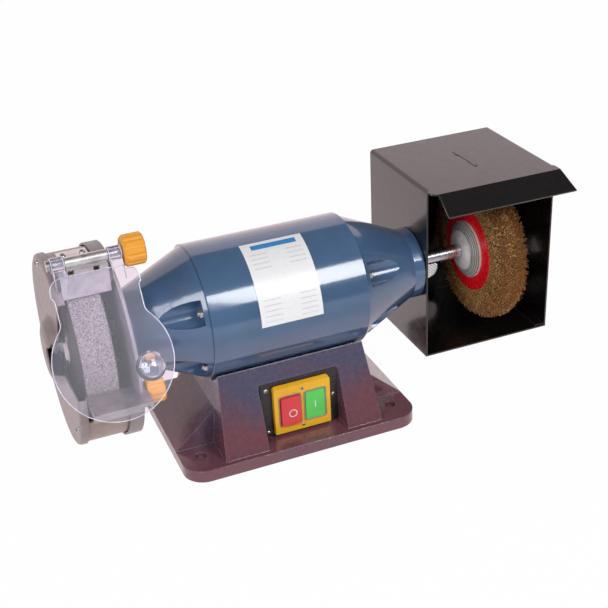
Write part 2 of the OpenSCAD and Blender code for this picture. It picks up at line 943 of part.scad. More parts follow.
module shield_rod() {
  head_x = hinge_x - barrel_w / 2 - ear_gap - ear_w - knob_gap / 2;
  color(zinc) {
    bar(head_x, knob_x + knob_bore, pin_r, hinge_z, hinge_y);
    bar(head_x - rod_head_w, head_x, pin_r + rod_head_rim, hinge_z, hinge_y);
  }
}

// places children in the plane of the shield: X across, Y down from the hinge, Z to the wheel
module on_shield() {
  translate([hinge_x + shield_shift, hinge_y, hinge_z])
    rotate([270 - shield_tilt, 0, 0])
      children();
}

// concave arc from the straight side of the shield into its round lower part
function waist_arc(cx, cy, r, end, n = 12) =
  [for (i = [0 : n]) let (a = 180 - end * i / n) [cx + r * cos(a), cy + r * sin(a)]];

module shield_outline() {
  reach = lobe_r + blend;
  side = shield_half + blend;
  waist = lobe_drop - sqrt(pow(reach, 2) - pow(side, 2));
  turn = asin((lobe_drop - waist) / reach);
  arc = waist_arc(side, waist, blend, turn);
  shoulder = [[0, top + corner + 4], [shield_half, top + corner + 4]];
  half = concat(shoulder, arc, [[shield_half, lobe_drop], [0, lobe_drop]]);
  translate([0, lobe_drop])
    circle(r = lobe_r, $fn = 120);
  for (s = [-1, 1])
    mirror([s < 0 ? 1 : 0, 0])
      polygon(half);
  translate([-shield_half - corner_out, top + corner])
    square([2 * (shield_half + corner_out), 6]);
  translate([-shield_half - corner_out + corner, top])
    square([2 * (shield_half + corner_out - corner), 2 * corner]);
  for (s = [-1, 1])
    translate([s * (shield_half + corner_out - corner), top + corner])
      circle(r = corner, $fn = 72);
}

// moulded ear: a round eye for the rod with a rib that runs out into the sheet
module shield_ear() {
  inner = shield_t / 3;
  half = ear_w / 2 - 1;
  rotate([0, -90, 0])
    cylinder(h = ear_w, r = ear_r, center = true);
  rotate([270 - shield_tilt, 0, 0])
    strip_yz(-half, half)
      polygon([[0, inner], [0, -ear_rib], [ear_drop / 4, -ear_rib], [ear_drop, inner]]);
}

module eye_shield() {
  ear_in = barrel_w / 2 + ear_gap;
  color(clear)
    difference() {
      union() {
        on_shield()
          translate([0, 0, -shield_t / 2])
            linear_extrude(shield_t)
              shield_outline();
        for (s = [-1, 1])
          translate([hinge_x + s * (ear_in + ear_w / 2), hinge_y, hinge_z])
            shield_ear();
      }
      bar(hinge_x - ear_in - 2 * ear_w, knob_x + knob_w, pin_r + pin_fit, hinge_z, hinge_y);
      bar(hinge_x - ear_in, hinge_x + ear_in, ear_r + 1, hinge_z, hinge_y);
      bar(knob_x - 0.5, knob_x + 2 * knob_w, knob_r + 1, hinge_z, hinge_y);
    }
}

module shield_lens() {
  color(clear)
    on_shield()
      translate([lens_dx, lens_drop, -shield_t / 2 - lens_t])
        cylinder(h = lens_t, r = lens_r);
}

module shield_knob() {
  color(orange)
    difference() {
      translate([0, hinge_y, hinge_z])
        grip(knob_x, knob_x + knob_w, knob_r);
      bar(knob_x - cut, knob_x + knob_bore, pin_r, hinge_z, hinge_y);
    }
}

// outline of the folded sides and top, drawn in by the inset and open from z0 up
module hood_section(inset, z0) {
  x0 = hood_x0 + inset;
  x1 = hood_x1 - inset;
  z1 = hood_z1 - inset;
  r = bend_r - inset;
  translate([x0, z0])
    square([x1 - x0, z1 - r - z0]);
  translate([x0 + r, z0])
    square([x1 - x0 - 2 * r, z1 - z0]);
  for (x = [x0 + r, x1 - r])
    translate([x, z1 - r])
      circle(r = r, $fn = 48);
}

// cut that draws the visor's left edge in, with a round relief at the bend
module visor_relief(y1, y2) {
  translate([hood_x0, 0, hood_z1 - 2 * visor_drop]) {
    translate([0, y1, 0])
      cylinder(h = 3 * visor_drop, r = notch_r);
    linear_extrude(3 * visor_drop)
      polygon([[-cut, y1], [notch_r, y1], [visor_in, y2], [visor_in, y2 - hem], [-cut, y2 - hem]]);
  }
}

module brush_hood() {
  lip = [-visor_len, -visor_drop] / norm([visor_len, visor_drop]);
  y1 = -hood_front - hood_lap;
  y2 = y1 - visor_len;
  z2 = hood_z1 - visor_drop;
  color(hood_paint)
    difference() {
      union() {
        wall_xz(-hood_front, hood_front + hood_back_y)
          difference() {
            hood_section(0, hood_z0);
            hood_section(hood_t, hood_z0 - cut);
          }
        strip_yz(hood_x0 + 1, hood_x1 - 1)
          polygon([
            [-hood_front + cut, hood_z1], [y1, hood_z1], [y2, z2],
            [y2 - lip[1] * hood_t, z2 + lip[0] * hood_t],
            [y1, hood_z1 - hood_t * 1.08], [-hood_front + cut, hood_z1 - hood_t]]);
        translate([hood_x1 - hood_t / 2 - hem, -hood_front + 2, hood_z0 + hood_t])
          cube([hem, hood_front + hood_back_y - 2 - hood_t, hood_t]);
      }
      visor_relief(y1 - notch_drop, y2);
      bar(hood_x0 - cut, hood_x0 + hood_t + cut, shaft_r + 4);
      for (a = [45 : 90 : 315])
        translate([hood_x0 - cut, hood_bolt_ring * cos(a), axis_h + hood_bolt_ring * sin(a)])
          rotate([0, 90, 0])
            cylinder(h = hood_t + 2 * cut, r = bolt_hole_r, $fn = 32);
    }
}

module hood_back() {
  color(hood_paint)
    difference() {
      union() {
        wall_xz(hood_back_y - hood_t, hood_t)
          hood_section(hood_t, hood_z0);
        translate([hood_x0 + hood_t, -hood_front, hood_z0])
          cube([hood_w - 2 * hood_t, hood_front + hood_back_y - hood_t, hood_t]);
      }
      translate([port_x, hood_back_y + cut, port_z])
        rotate([90, 0, 0])
          cylinder(h = hood_t + 2 * cut, r = port_r);
    }
}

module hood_screws() {
  color(zinc)
    for (a = [45 : 90 : 315])
      translate([0, hood_bolt_ring * cos(a), axis_h + hood_bolt_ring * sin(a)]) {
        hex_bar(hood_x0 + hood_t, hood_x0 + hood_t + head_h, head_flats);
        translate([hood_x0 - bolt_depth + 2, 0, 0])
          rotate([0, 90, 0])
            cylinder(h = bolt_depth - 2 + hood_t, r = bolt_r, $fn = 32);
      }
}

// the packed wires: they leave the discs and spread into a full, rounded rim
module brush_wires() {
  root_r = thread_r + drum_t;
  half = brush_w / 2;
  mid = brush_x0 + half;
  rise = brush_r - disc_r;
  side = [
    [root_r, half - brush_waist], [disc_r, half - brush_waist],
    [disc_r + rise * 0.4, half - brush_waist / 8], [disc_r + rise * 0.7, half],
    [brush_r - rise / 11, half * 0.8], [brush_r, half / 2]];
  other = [for (i = [len(side) - 1 : -1 : 0]) [side[i][0], mid - side[i][1]]];
  color(brass)
    turned()
      polygon(concat([for (p = side) [p[0], mid + p[1]]], other));
}

// repeats its children mirrored about the middle of the brush
module both_brush_sides() {
  mid = (brush_x0 + brush_x1) / 2;
  for (s = [0, 1])
    translate([mid, 0, 0])
      mirror([s, 0, 0])
        translate([-mid, 0, 0])
          children();
}

module brush_discs() {
  mid = (brush_x0 + brush_x1) / 2;
  hub_r = thread_r + drum_t;
  color(red)
    both_brush_sides()
      turned()
        polygon([
          [thread_r, brush_face], [disc_r, brush_face], [disc_r, brush_face + disc_t],
          [hub_r, brush_face + disc_t], [hub_r, mid], [thread_r, mid]]);
}

module brush_flanges() {
  color(zinc)
    both_brush_sides()
      turned()
        polygon([
          [thread_r, brush_seat], [16, brush_seat], [cup_r - 8, brush_seat + 4],
          [cup_r - 1.5, brush_face - 4], [cup_r, brush_face - 2.5], [cup_r, brush_face],
          [cup_r - 3, brush_face], [cup_r - 4, brush_face - 2], [cup_r - 12, brush_face - 5],
          [20, brush_face - 7], [18, brush_face], [thread_r, brush_face]]);
}

module brush_nut() {
  nut_x = brush_end + cup_depth;
  color(zinc)
    translate([0, 0, axis_h])
      difference() {
        hex_bar(nut_x, nut_x + brush_nut_t, nut_flats);
        translate([nut_x - cut, 0, 0])
          rotate([0, 90, 0])
            cylinder(h = brush_nut_t + 2 * cut, r = thread_r);
      }
}

module switch_screw_places() {
  rise = frame_h / 2 - switch_screw_in;
  left = (switch_x - frame_w / 2 + recess_x - recess_w / 2 + plate_gap) / 2;
  right = (switch_x + frame_w / 2 + recess_x + recess_w / 2 - plate_gap) / 2;
  for (p = [[left, rise], [left, -rise], [right, plate_gap]])
    translate([p[0], frame_y, switch_z + p[1]])
      rotate([90, 0, 0])
        children();
}

module switch_plate() {
  color(black)
    difference() {
      translate([recess_x - recess_w / 2 + plate_gap, recess_y - switch_plate_t, foot_t + plate_gap / 2])
        cube([recess_w - 2 * plate_gap, switch_plate_t, switch_plate_h]);
      translate([switch_x - switch_body_w / 2, recess_y - 2 * switch_plate_t, switch_z - switch_body_h / 2])
        cube([switch_body_w, 3 * switch_plate_t, switch_body_h]);
    }
}

module switch_body() {
  color(black)
    translate([switch_x - switch_body_w / 2, frame_y + switch_drop, switch_z - switch_body_h / 2])
      cube([switch_body_w, switch_body_d, switch_body_h]);
}

// places children on the front of the frame over one button: X across, Y up
module over_button(s) {
  translate([switch_x + s * (button_w + button_gap) / 2, frame_y, switch_z])
    rotate([90, 0, 0])
      children();
}

module switch_frame() {
  draft = 2;
  color(yellow)
    difference() {
      intersection() {
        wall_xz(frame_y - frame_d, frame_d)
          translate([switch_x, switch_z])
            rounded_rect(frame_w, frame_h, 4);
        strip_yz(switch_x - frame_w, switch_x + frame_w)
          polygon([
            [frame_y, switch_z - frame_h / 2], [frame_y, switch_z + frame_h / 2],
            [frame_y - frame_d, switch_z + frame_h / 2 - draft],
            [frame_y - frame_d, switch_z - frame_h / 2 + draft]]);
      }
      for (s = [-1, 1])
        over_button(s)
          linear_extrude(frame_d + cut)
            rounded_rect(button_w + 2 * button_clear, button_h + 2 * button_clear, 2.5);
    }
}

module switch_screws() {
  color(zinc) {
    switch_screw_places()
      rotate_extrude($fn = 32)
        polygon([[0, 0], [3.6, 0], [3.6, 0.8], [2.4, 2], [0, 2.4]]);
    for (s = [-1, 1])
      translate([switch_x, frame_y - frame_d, switch_z + s * (button_h / 2 + frame_screw_out)])
        rotate([90, 0, 0])
          cylinder(h = 1, r = 2.6, $fn = 32);
  }
}

module button(s, rise) {
  over_button(s)
    translate([0, 0, button_seat])
      linear_extrude(frame_d - button_seat + rise)
        rounded_rect(button_w, button_h, 2);
}

module stop_button() {
  color(red)
    button(-1, stop_rise);
}

module start_button() {
  color(green)
    button(1, start_rise);
}

base_casting();
bottom_cover();
bottom_screws();
motor_shell();
rating_label();
left_end_bell();
right_end_bell();
tie_rods();
stator_core();
stator_windings();
rotor_core();
motor_shaft();
bearing_outer_rings();
bearing_inner_rings();
guard_body();
guard_rim();
outer_cover();
cover_screws();
guard_bolts();
grinding_wheel();
wheel_flanges();
wheel_nut();
tool_rest();
rest_knob();
rest_bolt();
shield_bracket();
bracket_screws();
shield_rod();
eye_shield();
shield_lens();
shield_knob();
brush_hood();
hood_back();
hood_screws();
brush_wires();
brush_discs();
brush_flanges();
brush_nut();
switch_plate();
switch_body();
switch_frame();
switch_screws();
stop_button();
start_button();
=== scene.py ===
"""Bench grinder: a guarded grinding wheel on the left and a hooded wire brush on the right."""

import math

import bmesh
import bpy
from bpy.props import FloatProperty, FloatVectorProperty, IntProperty, PointerProperty
from mathutils import Matrix, Vector


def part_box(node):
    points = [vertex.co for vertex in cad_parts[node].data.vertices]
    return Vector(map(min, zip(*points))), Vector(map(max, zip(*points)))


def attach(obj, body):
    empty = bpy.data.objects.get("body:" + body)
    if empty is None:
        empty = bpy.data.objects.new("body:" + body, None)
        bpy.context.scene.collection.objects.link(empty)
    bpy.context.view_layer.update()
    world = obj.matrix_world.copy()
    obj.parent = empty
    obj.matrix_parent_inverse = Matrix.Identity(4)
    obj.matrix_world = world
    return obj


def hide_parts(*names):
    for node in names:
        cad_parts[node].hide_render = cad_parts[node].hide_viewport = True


bl_info = {
    "name": "Bench grinder dressing",
    "version": (1, 0, 0),
    "blender": (4, 5, 0),
    "location": "View3D > Sidebar > Grinder",
    "description": "Finishes, wire brush, fasteners, studio and camera for a bench grinder",
    "category": "Object",
}

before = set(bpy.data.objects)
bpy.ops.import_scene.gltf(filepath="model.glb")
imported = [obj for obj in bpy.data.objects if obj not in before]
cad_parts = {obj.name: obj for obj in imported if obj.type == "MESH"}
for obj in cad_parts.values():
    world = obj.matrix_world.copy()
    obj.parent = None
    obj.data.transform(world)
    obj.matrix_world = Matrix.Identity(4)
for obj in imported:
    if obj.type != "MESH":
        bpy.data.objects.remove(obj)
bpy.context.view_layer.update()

MERGE = 1e-6  # corners closer than this are one corner
STAGE_NAME = "studio_floor"
LAMP_TARGET = Vector((0.05, 0.0, 0.15))
LAMP_DISTANCE = 2.1


# ---------------------------------------------------------------- settings


def colour(name, text, value):
    """A colour setting shown as a swatch."""
    return FloatVectorProperty(
        name=name, description=text, subtype="COLOR", size=3, min=0, max=1, default=value
    )


def length(name, text, value, low=0.0, high=2.0):
    """A length setting in metres."""
    return FloatProperty(
        name=name, description=text, default=value, min=low, max=high,
        subtype="DISTANCE", unit="LENGTH", precision=5,
    )


def share(name, text, value):
    """A setting from none to all."""
    return FloatProperty(name=name, description=text, default=value, min=0, max=1, subtype="FACTOR")


def angle(name, text, degrees):
    """An angle setting, given in degrees."""
    return FloatProperty(
        name=name, description=text, default=math.radians(degrees),
        subtype="ANGLE", unit="ROTATION",
    )


def power(name, text, watts):
    """The power of a lamp in watts."""
    return FloatProperty(
        name=name, description=text, default=watts, min=0, max=200, subtype="POWER", unit="POWER"
    )


def number(name, text, value, low=0, high=10000):
    """A whole number."""
    return IntProperty(name=name, description=text, default=value, min=low, max=high)


class PaintSettings(bpy.types.PropertyGroup):
    """Colours of the painted, plastic and metal pieces."""

    shell_blue: colour("Motor blue", "Gloss enamel of the motor", (0.068, 0.135, 0.255))
    base_slate: colour("Base slate", "Cool part of the base's enamel", (0.076, 0.078, 0.140))
    # Painted reflection: the plum cast on the lower part of the base.
    base_plum_reflection: colour("Base plum", "Warm part of the base's enamel", (0.165, 0.058, 0.078))
    guard_grey: colour("Guard grey", "Grey paint of the guard body", (0.33, 0.29, 0.30))
    cover_grey: colour("Cover grey", "Grey paint of the outer cover", (0.345, 0.275, 0.28))
    rim_grey: colour("Rim grey", "Warm grey of the guard's rim", (0.42, 0.31, 0.26))
    hood_black: colour("Hood black", "Gloss black of the brush hood", (0.006, 0.0042, 0.004))
    knob_orange: colour("Knob orange", "Plastic of the clamping knobs", (0.98, 0.42, 0.045))
    frame_yellow: colour("Frame yellow", "Frame round the two buttons", (1.0, 0.52, 0.018))
    stop_red: colour("Stop red", "Stop button", (0.80, 0.055, 0.065))
    start_green: colour("Start green", "Start button", (0.11, 0.68, 0.11))
    disc_red: colour("Disc red", "Painted side discs of the brush", (0.95, 0.010, 0.017))
    cup_grey: colour("Cup grey", "Cast cup flanges of the brush", (0.92, 0.83, 0.82))
    zinc: colour("Zinc", "Bright zinc of screws, bolts and brackets", (0.62, 0.60, 0.60))
    steel: colour("Steel", "Turned steel of the shaft and flanges", (0.56, 0.56, 0.60))
    rest_metal: colour("Rest metal", "Galvanised plate of the tool rest", (0.54, 0.48, 0.46))
    stone: colour("Stone", "Grinding wheel", (0.315, 0.270, 0.258))
    boot_grey: colour("Boot grey", "Soft rim round each button", (0.40, 0.30, 0.22))
    label_white: colour("Label white", "Plain part of the label", (0.93, 0.93, 0.95))
    label_blue: colour("Label blue", "Band along the top of the label", (0.05, 0.27, 0.62))


class BrushSettings(bpy.types.PropertyGroup):
    """Sizes of the crimped wire brush and of the screen behind it."""

    wires: number("Wires", "Number of wires", 5200, 100, 5500)
    wire: length("Wire radius", "Radius of one wire", 0.00036, 0.0001, 0.001)
    fan: angle("Fan", "How far the outer wires splay", math.degrees(0.225))
    crimp: length("Crimp", "Height of the waves in a wire", 0.0011, 0.0, 0.004)
    tips: number("Tips", "Number of short wires round the rim", 5600, 100, 9000)
    core: length("Core depth", "How far the core stays below the tips", 0.0115, 0.0, 0.02)
    seed: number("Seed", "Seed of the brush's disorder", 7)
    screen_wires: number("Screen wires", "Wires across the port's screen", 9, 2, 60)
    screen_wire: length("Screen wire", "Radius of a wire in the screen", 0.00045, 0.0001, 0.002)
    gold: colour("Brass", "Bright wire", (1.0, 0.43, 0.155))
    # Painted shade between the wires of the brush.
    dark: colour("Shade", "Depth between the wires", (0.040, 0.014, 0.006))


class StudioSettings(bpy.types.PropertyGroup):
    """Camera, floor and lamps."""

    yaw: angle("Yaw", "Turn of the camera", -21.104)
    pitch: angle("Pitch", "Downward tilt of the camera", 28.392)
    roll: angle("Roll", "Roll of the camera", -2.913)
    lens: FloatProperty(
        name="Lens", description="Focal length in millimetres", default=68.46, min=10,
        subtype="DISTANCE_CAMERA", unit="CAMERA",
    )
    place: FloatVectorProperty(
        name="Place", description="Camera position", default=(-0.4248, -1.2296, 0.861),
        subtype="XYZ", unit="LENGTH",
    )
    shift: FloatProperty(name="Shift", description="Sideways lens shift", default=-0.0033)
    ambient: share("Ambient", "Strength of the plain surround", 0.13)
    right_power: power("Right power", "Power of the right softbox", 18.0)
    right_turn: angle("Right turn", "Turn of the right softbox from the front", 22.0)
    right_rise: angle("Right rise", "Height of the right softbox over the floor", 36.0)
    right_wide: length("Right width", "Width of the right softbox", 0.62)
    right_tall: length("Right height", "Height of the right softbox's face", 0.86)
    left_power: power("Left power", "Power of the left softbox", 18.0)
    left_turn: angle("Left turn", "Turn of the left softbox from the front", -48.0)
    left_rise: angle("Left rise", "Height of the left softbox over the floor", 34.0)
    left_wide: length("Left width", "Width of the left softbox", 1.1)
    left_tall: length("Left height", "Height of the left softbox's face", 0.9)
    paper_front: length("Paper front", "How far the paper runs to the front", 3.0, 0.2, 9.0)
    paper_back: length("Paper back", "How far behind the grinder it turns up", 1.3, 0.3, 9.0)
    paper_top: length("Paper top", "Height of the paper behind the grinder", 1.8, 0.3, 9.0)
    paper_white: share("Paper white", "How much of the paper shows as plain white", 0.985)
    # Painted reflection: tint of the glow that glossy rays see on the paper near the grinder.
    paper_reflection_tint: colour("Paper tint", "Tint of the paper where gloss mirrors it", (1.0, 0.84, 0.86))


# ---------------------------------------------------------------- node trees


class Steps:
    """A node tree that is built up step by step."""

    def feed(self, source, socket):
        """Links an output to an input, or gives the input a plain value."""
        if hasattr(source, "is_output"):
            self.tree.links.new(source, socket)
        else:
            socket.default_value = source

    def node(self, kind, feeds=None, **values):
        """A new node with its plain properties set and its sockets fed."""
        made = self.tree.nodes.new(kind)
        for name, value in values.items():
            setattr(made, name, value)
        for socket, source in (feeds or {}).items():
            self.feed(source, made.inputs[socket])
        return made

    def maths(self, work, *numbers):
        """One arithmetic step on sockets or numbers."""
        return self.node("ShaderNodeMath", dict(enumerate(numbers)), operation=work).outputs[0]


class Finish(Steps):
    """A material built on the object's own coordinates."""

    def __init__(self, name, tone, rough=0.5, metal=0.0):
        self.material = bpy.data.materials.new(name)
        self.material.use_nodes = True
        self.tree = self.material.node_tree
        self.shader = self.tree.nodes["Principled BSDF"]
        self.fixed(Base_Color=(*tone, 1), Roughness=rough, Metallic=metal)
        self.place = self.node("ShaderNodeTexCoord").outputs["Object"]
        self.normal = None

    def put(self, name, source):
        """Drives one of the shader's sockets."""
        self.feed(source, self.shader.inputs[name])

    def fixed(self, **values):
        """Sets shader sockets, with underscores standing for spaces."""
        for name, value in values.items():
            self.shader.inputs[name.replace("_", " ")].default_value = value
        return self

    def scaled(self, x, y, z):
        """Coordinates stretched by three factors."""
        feeds = {"Scale": (x, y, z), "Vector": self.place}
        return self.node("ShaderNodeMapping", feeds).outputs["Vector"]

    def noise(self, scale, detail=4.0, rough=0.55, where=None, warp=0.0):
        """Fractal noise, scale in waves to the metre."""
        return self.node("ShaderNodeTexNoise", {
            "Scale": scale, "Detail": detail, "Roughness": rough, "Distortion": warp,
            "Vector": where or self.place,
        }).outputs["Fac"]

    def cells(self, scale):
        """Distance to the nearest of many scattered points."""
        feeds = {"Scale": scale, "Vector": self.place}
        return self.node("ShaderNodeTexVoronoi", feeds, feature="F1").outputs["Distance"]

    def axis(self, name):
        """One of the three coordinates."""
        return self.node("ShaderNodeSeparateXYZ", {0: self.place}).outputs[name]

    def level(self, source, low, high, to_low=0.0, to_high=1.0):
        """Maps a span of one value onto another span."""
        return self.node("ShaderNodeMapRange", {
            "From Min": low, "From Max": high, "To Min": to_low, "To Max": to_high, "Value": source,
        }).outputs["Result"]

    def mixed(self, amount, first, second):
        """Two colours or colour sockets mixed by a factor."""
        step = self.node("ShaderNodeMix", {"Factor": amount}, data_type="RGBA")
        sockets = [socket for socket in step.inputs if socket.type == "RGBA"]
        for socket, value in zip(sockets, (first, second)):
            self.feed(value if hasattr(value, "is_output") else (*value, 1), socket)
        return next(socket for socket in step.outputs if socket.type == "RGBA")

    def across(self, work, first, second, result=0):
        """One step on two vectors."""
        feeds = {0: first, 1: second}
        return self.node("ShaderNodeVectorMath", feeds, operation=work).outputs[result]

    def toned(self, pattern, low, high, first, second):
        """Base colour from one tone to another over a span of a pattern."""
        self.put("Base Color", self.mixed(self.level(pattern, low, high), first, second))

    def shaded(self, pattern, low, high, tone, dark, light):
        """Base colour between a darker and a lighter cast of one tone."""
        self.toned(pattern, low, high, tinted(tone, dark), tinted(tone, light))

    def matted(self, pattern, low, high, smooth, rough):
        """Roughness from one value to another over a span of a pattern."""
        self.put("Roughness", self.level(pattern, low, high, smooth, rough))

    def edges(self, radius):
        """1 on sharp edges and 0 on open faces: a mask for rubbed paint and for a painted highlight
        along the edges.
        """
        rounded = self.node("ShaderNodeBevel", {"Radius": radius}, samples=6).outputs["Normal"]
        flat = self.node("ShaderNodeNewGeometry").outputs["Normal"]
        return self.level(self.across("DOT_PRODUCT", rounded, flat, "Value"), 0.76, 0.97, 1.0, 0.0)

    def wear_and_highlight_edges(self, radius, amount, paint, bare):
        """Base colour that turns pale along the sharp edges: partly bare metal where the paint is
        rubbed, partly a painted highlight.
        """
        edge_wear_and_highlight_amount = self.maths("MULTIPLY", self.edges(radius), amount)
        self.put("Base Color", self.mixed(edge_wear_and_highlight_amount, paint, bare))

    def relief(self, step):
        """Passes the normal so far through one more step."""
        if self.normal is not None:
            self.feed(self.normal, step.inputs["Normal"])
        self.normal = step.outputs["Normal"]
        self.put("Normal", self.normal)

    def soften(self, radius):
        """Rounded edges in the shading of sharp solids, in the paint and in its gloss coat."""
        self.relief(self.node("ShaderNodeBevel", {"Radius": radius}, samples=6))
        self.put("Coat Normal", self.normal)

    def bump(self, height, strength, depth):
        """Relief from a height."""
        feeds = {"Strength": strength, "Distance": depth, "Height": height}
        self.relief(self.node("ShaderNodeBump", feeds))

    def overlaid(self, amount, other):
        """Mixes another shader over the main one and sends the result out."""
        feeds = {0: amount, 1: self.shader.outputs[0], 2: other}
        both = self.node("ShaderNodeMixShader", feeds)
        self.feed(both.outputs[0], self.tree.nodes["Material Output"].inputs[0])


class Growth(Steps):
    """A geometry tree with named inputs that ends in plain painted geometry."""

    KINDS = {float: "Float", int: "Int", tuple: "Vector", type(None): "Material"}

    def __init__(self, name, **inputs):
        self.tree = bpy.data.node_groups.new(name, "GeometryNodeTree")
        socket = self.tree.interface.new_socket
        socket("Geometry", in_out="INPUT", socket_type="NodeSocketGeometry")
        for label, value in inputs.items():
            kind = "NodeSocket" + self.KINDS[type(value)]
            made = socket(label.replace("_", " "), in_out="INPUT", socket_type=kind)
            if value is not None:
                made.default_value = value
        socket("Geometry", in_out="OUTPUT", socket_type="NodeSocketGeometry")
        self.given = self.node("NodeGroupInput").outputs
        self.end = self.node("NodeGroupOutput").inputs[0]

    def vector(self, x, y, z):
        """A vector from three sockets or numbers."""
        return self.node("ShaderNodeCombineXYZ", {0: x, 1: y, 2: z}).outputs[0]

    def here(self, axis):
        """One coordinate of the point in hand."""
        place = self.node("GeometryNodeInputPosition").outputs[0]
        return self.node("ShaderNodeSeparateXYZ", {0: place}).outputs[axis]

    def marked(self, name, kind):
        """A named attribute of the point or edge in hand."""
        step = self.node("GeometryNodeInputNamedAttribute", {"Name": name}, data_type=kind)
        return step.outputs["Attribute"]

    def shape(self, kind, feeds, **values):
        """The geometry that a node makes."""
        return self.node(kind, feeds, **values).outputs[0]

    def moved(self, piece, **how):
        """A piece moved, turned or scaled."""
        return self.shape("GeometryNodeTransform", {"Geometry": piece, **how})

    def smooth(self, piece):
        """A piece with smooth shading."""
        return self.shape("GeometryNodeSetShadeSmooth", {"Geometry": piece})

    def painted(self, piece, material="Material"):
        """A piece with one of the tree's materials."""
        feeds = {"Geometry": piece, "Material": self.given[material]}
        return self.shape("GeometryNodeSetMaterial", feeds)

    def tube(self, line, radius, sides, caps=False):
        """A round tube along a line."""
        feeds = {"Resolution": sides, "Radius": radius}
        section = self.shape("GeometryNodeCurvePrimitiveCircle", feeds)
        feeds = {"Curve": line, "Profile Curve": section, "Fill Caps": caps}
        return self.shape("GeometryNodeCurveToMesh", feeds)

    def repeated(self, points, piece, **how):
        """A copy of a piece on every point."""
        feeds = {"Points": points, "Instance": piece, **how}
        return self.shape("GeometryNodeInstanceOnPoints", feeds)

    def together(self, *pieces):
        """Several pieces as one."""
        both = self.node("GeometryNodeJoinGeometry")
        for piece in pieces:
            self.feed(piece, both.inputs[0])
        return both.outputs[0]

    def realised(self, piece):
        """Copies made into real geometry."""
        return self.shape("GeometryNodeRealizeInstances", {0: piece})

    def finish(self, piece):
        """Ends the tree with a piece, in the tree's material."""
        self.feed(self.painted(self.realised(piece)), self.end)
        return self.tree


def tinted(tone, gain):
    """A colour made lighter or darker."""
    return tuple(min(1.0, c * gain) for c in tone)


# ---------------------------------------------------------------- finishes


def gloss_enamel(name, tone):
    """Sprayed enamel with orange peel, faint dust and a soft change of tone."""
    f = Finish(name, tone, 0.16)
    f.shaded(f.noise(9, 3), 0.35, 0.65, tone, 0.86, 1.12)
    f.matted(f.noise(420, 5, 0.7), 0.3, 0.8, 0.12, 0.26)
    f.soften(0.0012)
    f.bump(f.noise(360, 2), 0.16, 0.0004)
    return f.fixed(Coat_Weight=1.0, Coat_Roughness=0.07).material


def cast_enamel(name, cool, plum_reflection_tone, low, high):
    """Thick enamel on a sand casting: slate at the top and a painted plum reflection lower down,
    over a lumpy skin.
    """
    f = Finish(name, cool, 0.22)
    drift = f.noise(13, 4, 0.55, warp=0.8)
    # Painted reflection: a warm plum cast grows towards the bottom of the base, with a random
    # drift.
    height = f.level(f.axis("Z"), low, high, 0.95, 0.0)
    blend = f.maths("ADD", height, f.level(drift, 0.3, 0.7, -0.42, 0.42))
    base = f.mixed(f.level(blend, 0.15, 0.85), cool, plum_reflection_tone)
    flecks = f.level(f.noise(240, 4, 0.7), 0.45, 0.75, 0.0, 0.3)
    # Pale edges: partly rubbed paint, partly a painted highlight along the edges.
    f.wear_and_highlight_edges(0.0013, 0.55, f.mixed(flecks, base, tinted(plum_reflection_tone, 1.6)), (0.50, 0.42, 0.45))
    f.matted(f.noise(150, 4), 0.3, 0.75, 0.18, 0.38)
    f.soften(0.0020)
    f.bump(f.noise(48, 3), 0.30, 0.0015)
    f.bump(f.noise(420, 3), 0.16, 0.0004)
    return f.fixed(Coat_Weight=0.5, Coat_Roughness=0.12).material


def satin_paint(name, tone):
    """Satin grey paint on pressed sheet with faint handling marks."""
    f = Finish(name, tone, 0.34)
    f.shaded(f.noise(35, 6, 0.65, f.scaled(1, 0.5, 2.2)), 0.35, 0.7, tone, 0.86, 1.10)
    f.matted(f.noise(220, 5), 0.3, 0.75, 0.26, 0.46)
    f.soften(0.0010)
    f.bump(f.noise(260, 2), 0.10, 0.0004)
    return f.material


def gloss_black(name, tone):
    """Gloss black powder coat on folded sheet."""
    f = Finish(name, tone, 0.2)
    # Pale pinkish edges: partly rubbed paint, partly a painted highlight along the edges.
    f.wear_and_highlight_edges(0.0009, 0.35, tone, (0.42, 0.36, 0.35))
    f.matted(f.noise(90, 5, 0.6), 0.35, 0.75, 0.14, 0.32)
    f.soften(0.0012)
    f.bump(f.noise(520, 2), 0.08, 0.0003)
    return f.fixed(Coat_Weight=0.5, Coat_Roughness=0.10).material


def zinc_plate(name, tone, rough=0.32):
    """Zinc plated or galvanised steel with a cloudy spangle."""
    f = Finish(name, tone, rough, 1.0)
    f.shaded(f.noise(60, 5, 0.6), 0.3, 0.7, tone, 0.78, 1.12)
    f.matted(f.noise(170, 5, 0.65), 0.3, 0.75, rough - 0.1, rough + 0.16)
    f.soften(0.0007)
    f.bump(f.noise(300, 4), 0.10, 0.0004)
    return f.material


def turned_steel(name, tone):
    """Machined steel with fine rings round the shaft axis."""
    f = Finish(name, tone, 0.22, 1.0)
    rings = f.noise(900, 2, 0.6, f.scaled(1.0, 0.02, 0.02))
    f.shaded(f.noise(40, 4), 0.3, 0.7, tone, 0.82, 1.1)
    f.matted(rings, 0.3, 0.7, 0.14, 0.34)
    f.soften(0.0006)
    f.bump(rings, 0.12, 0.0003)
    return f.material


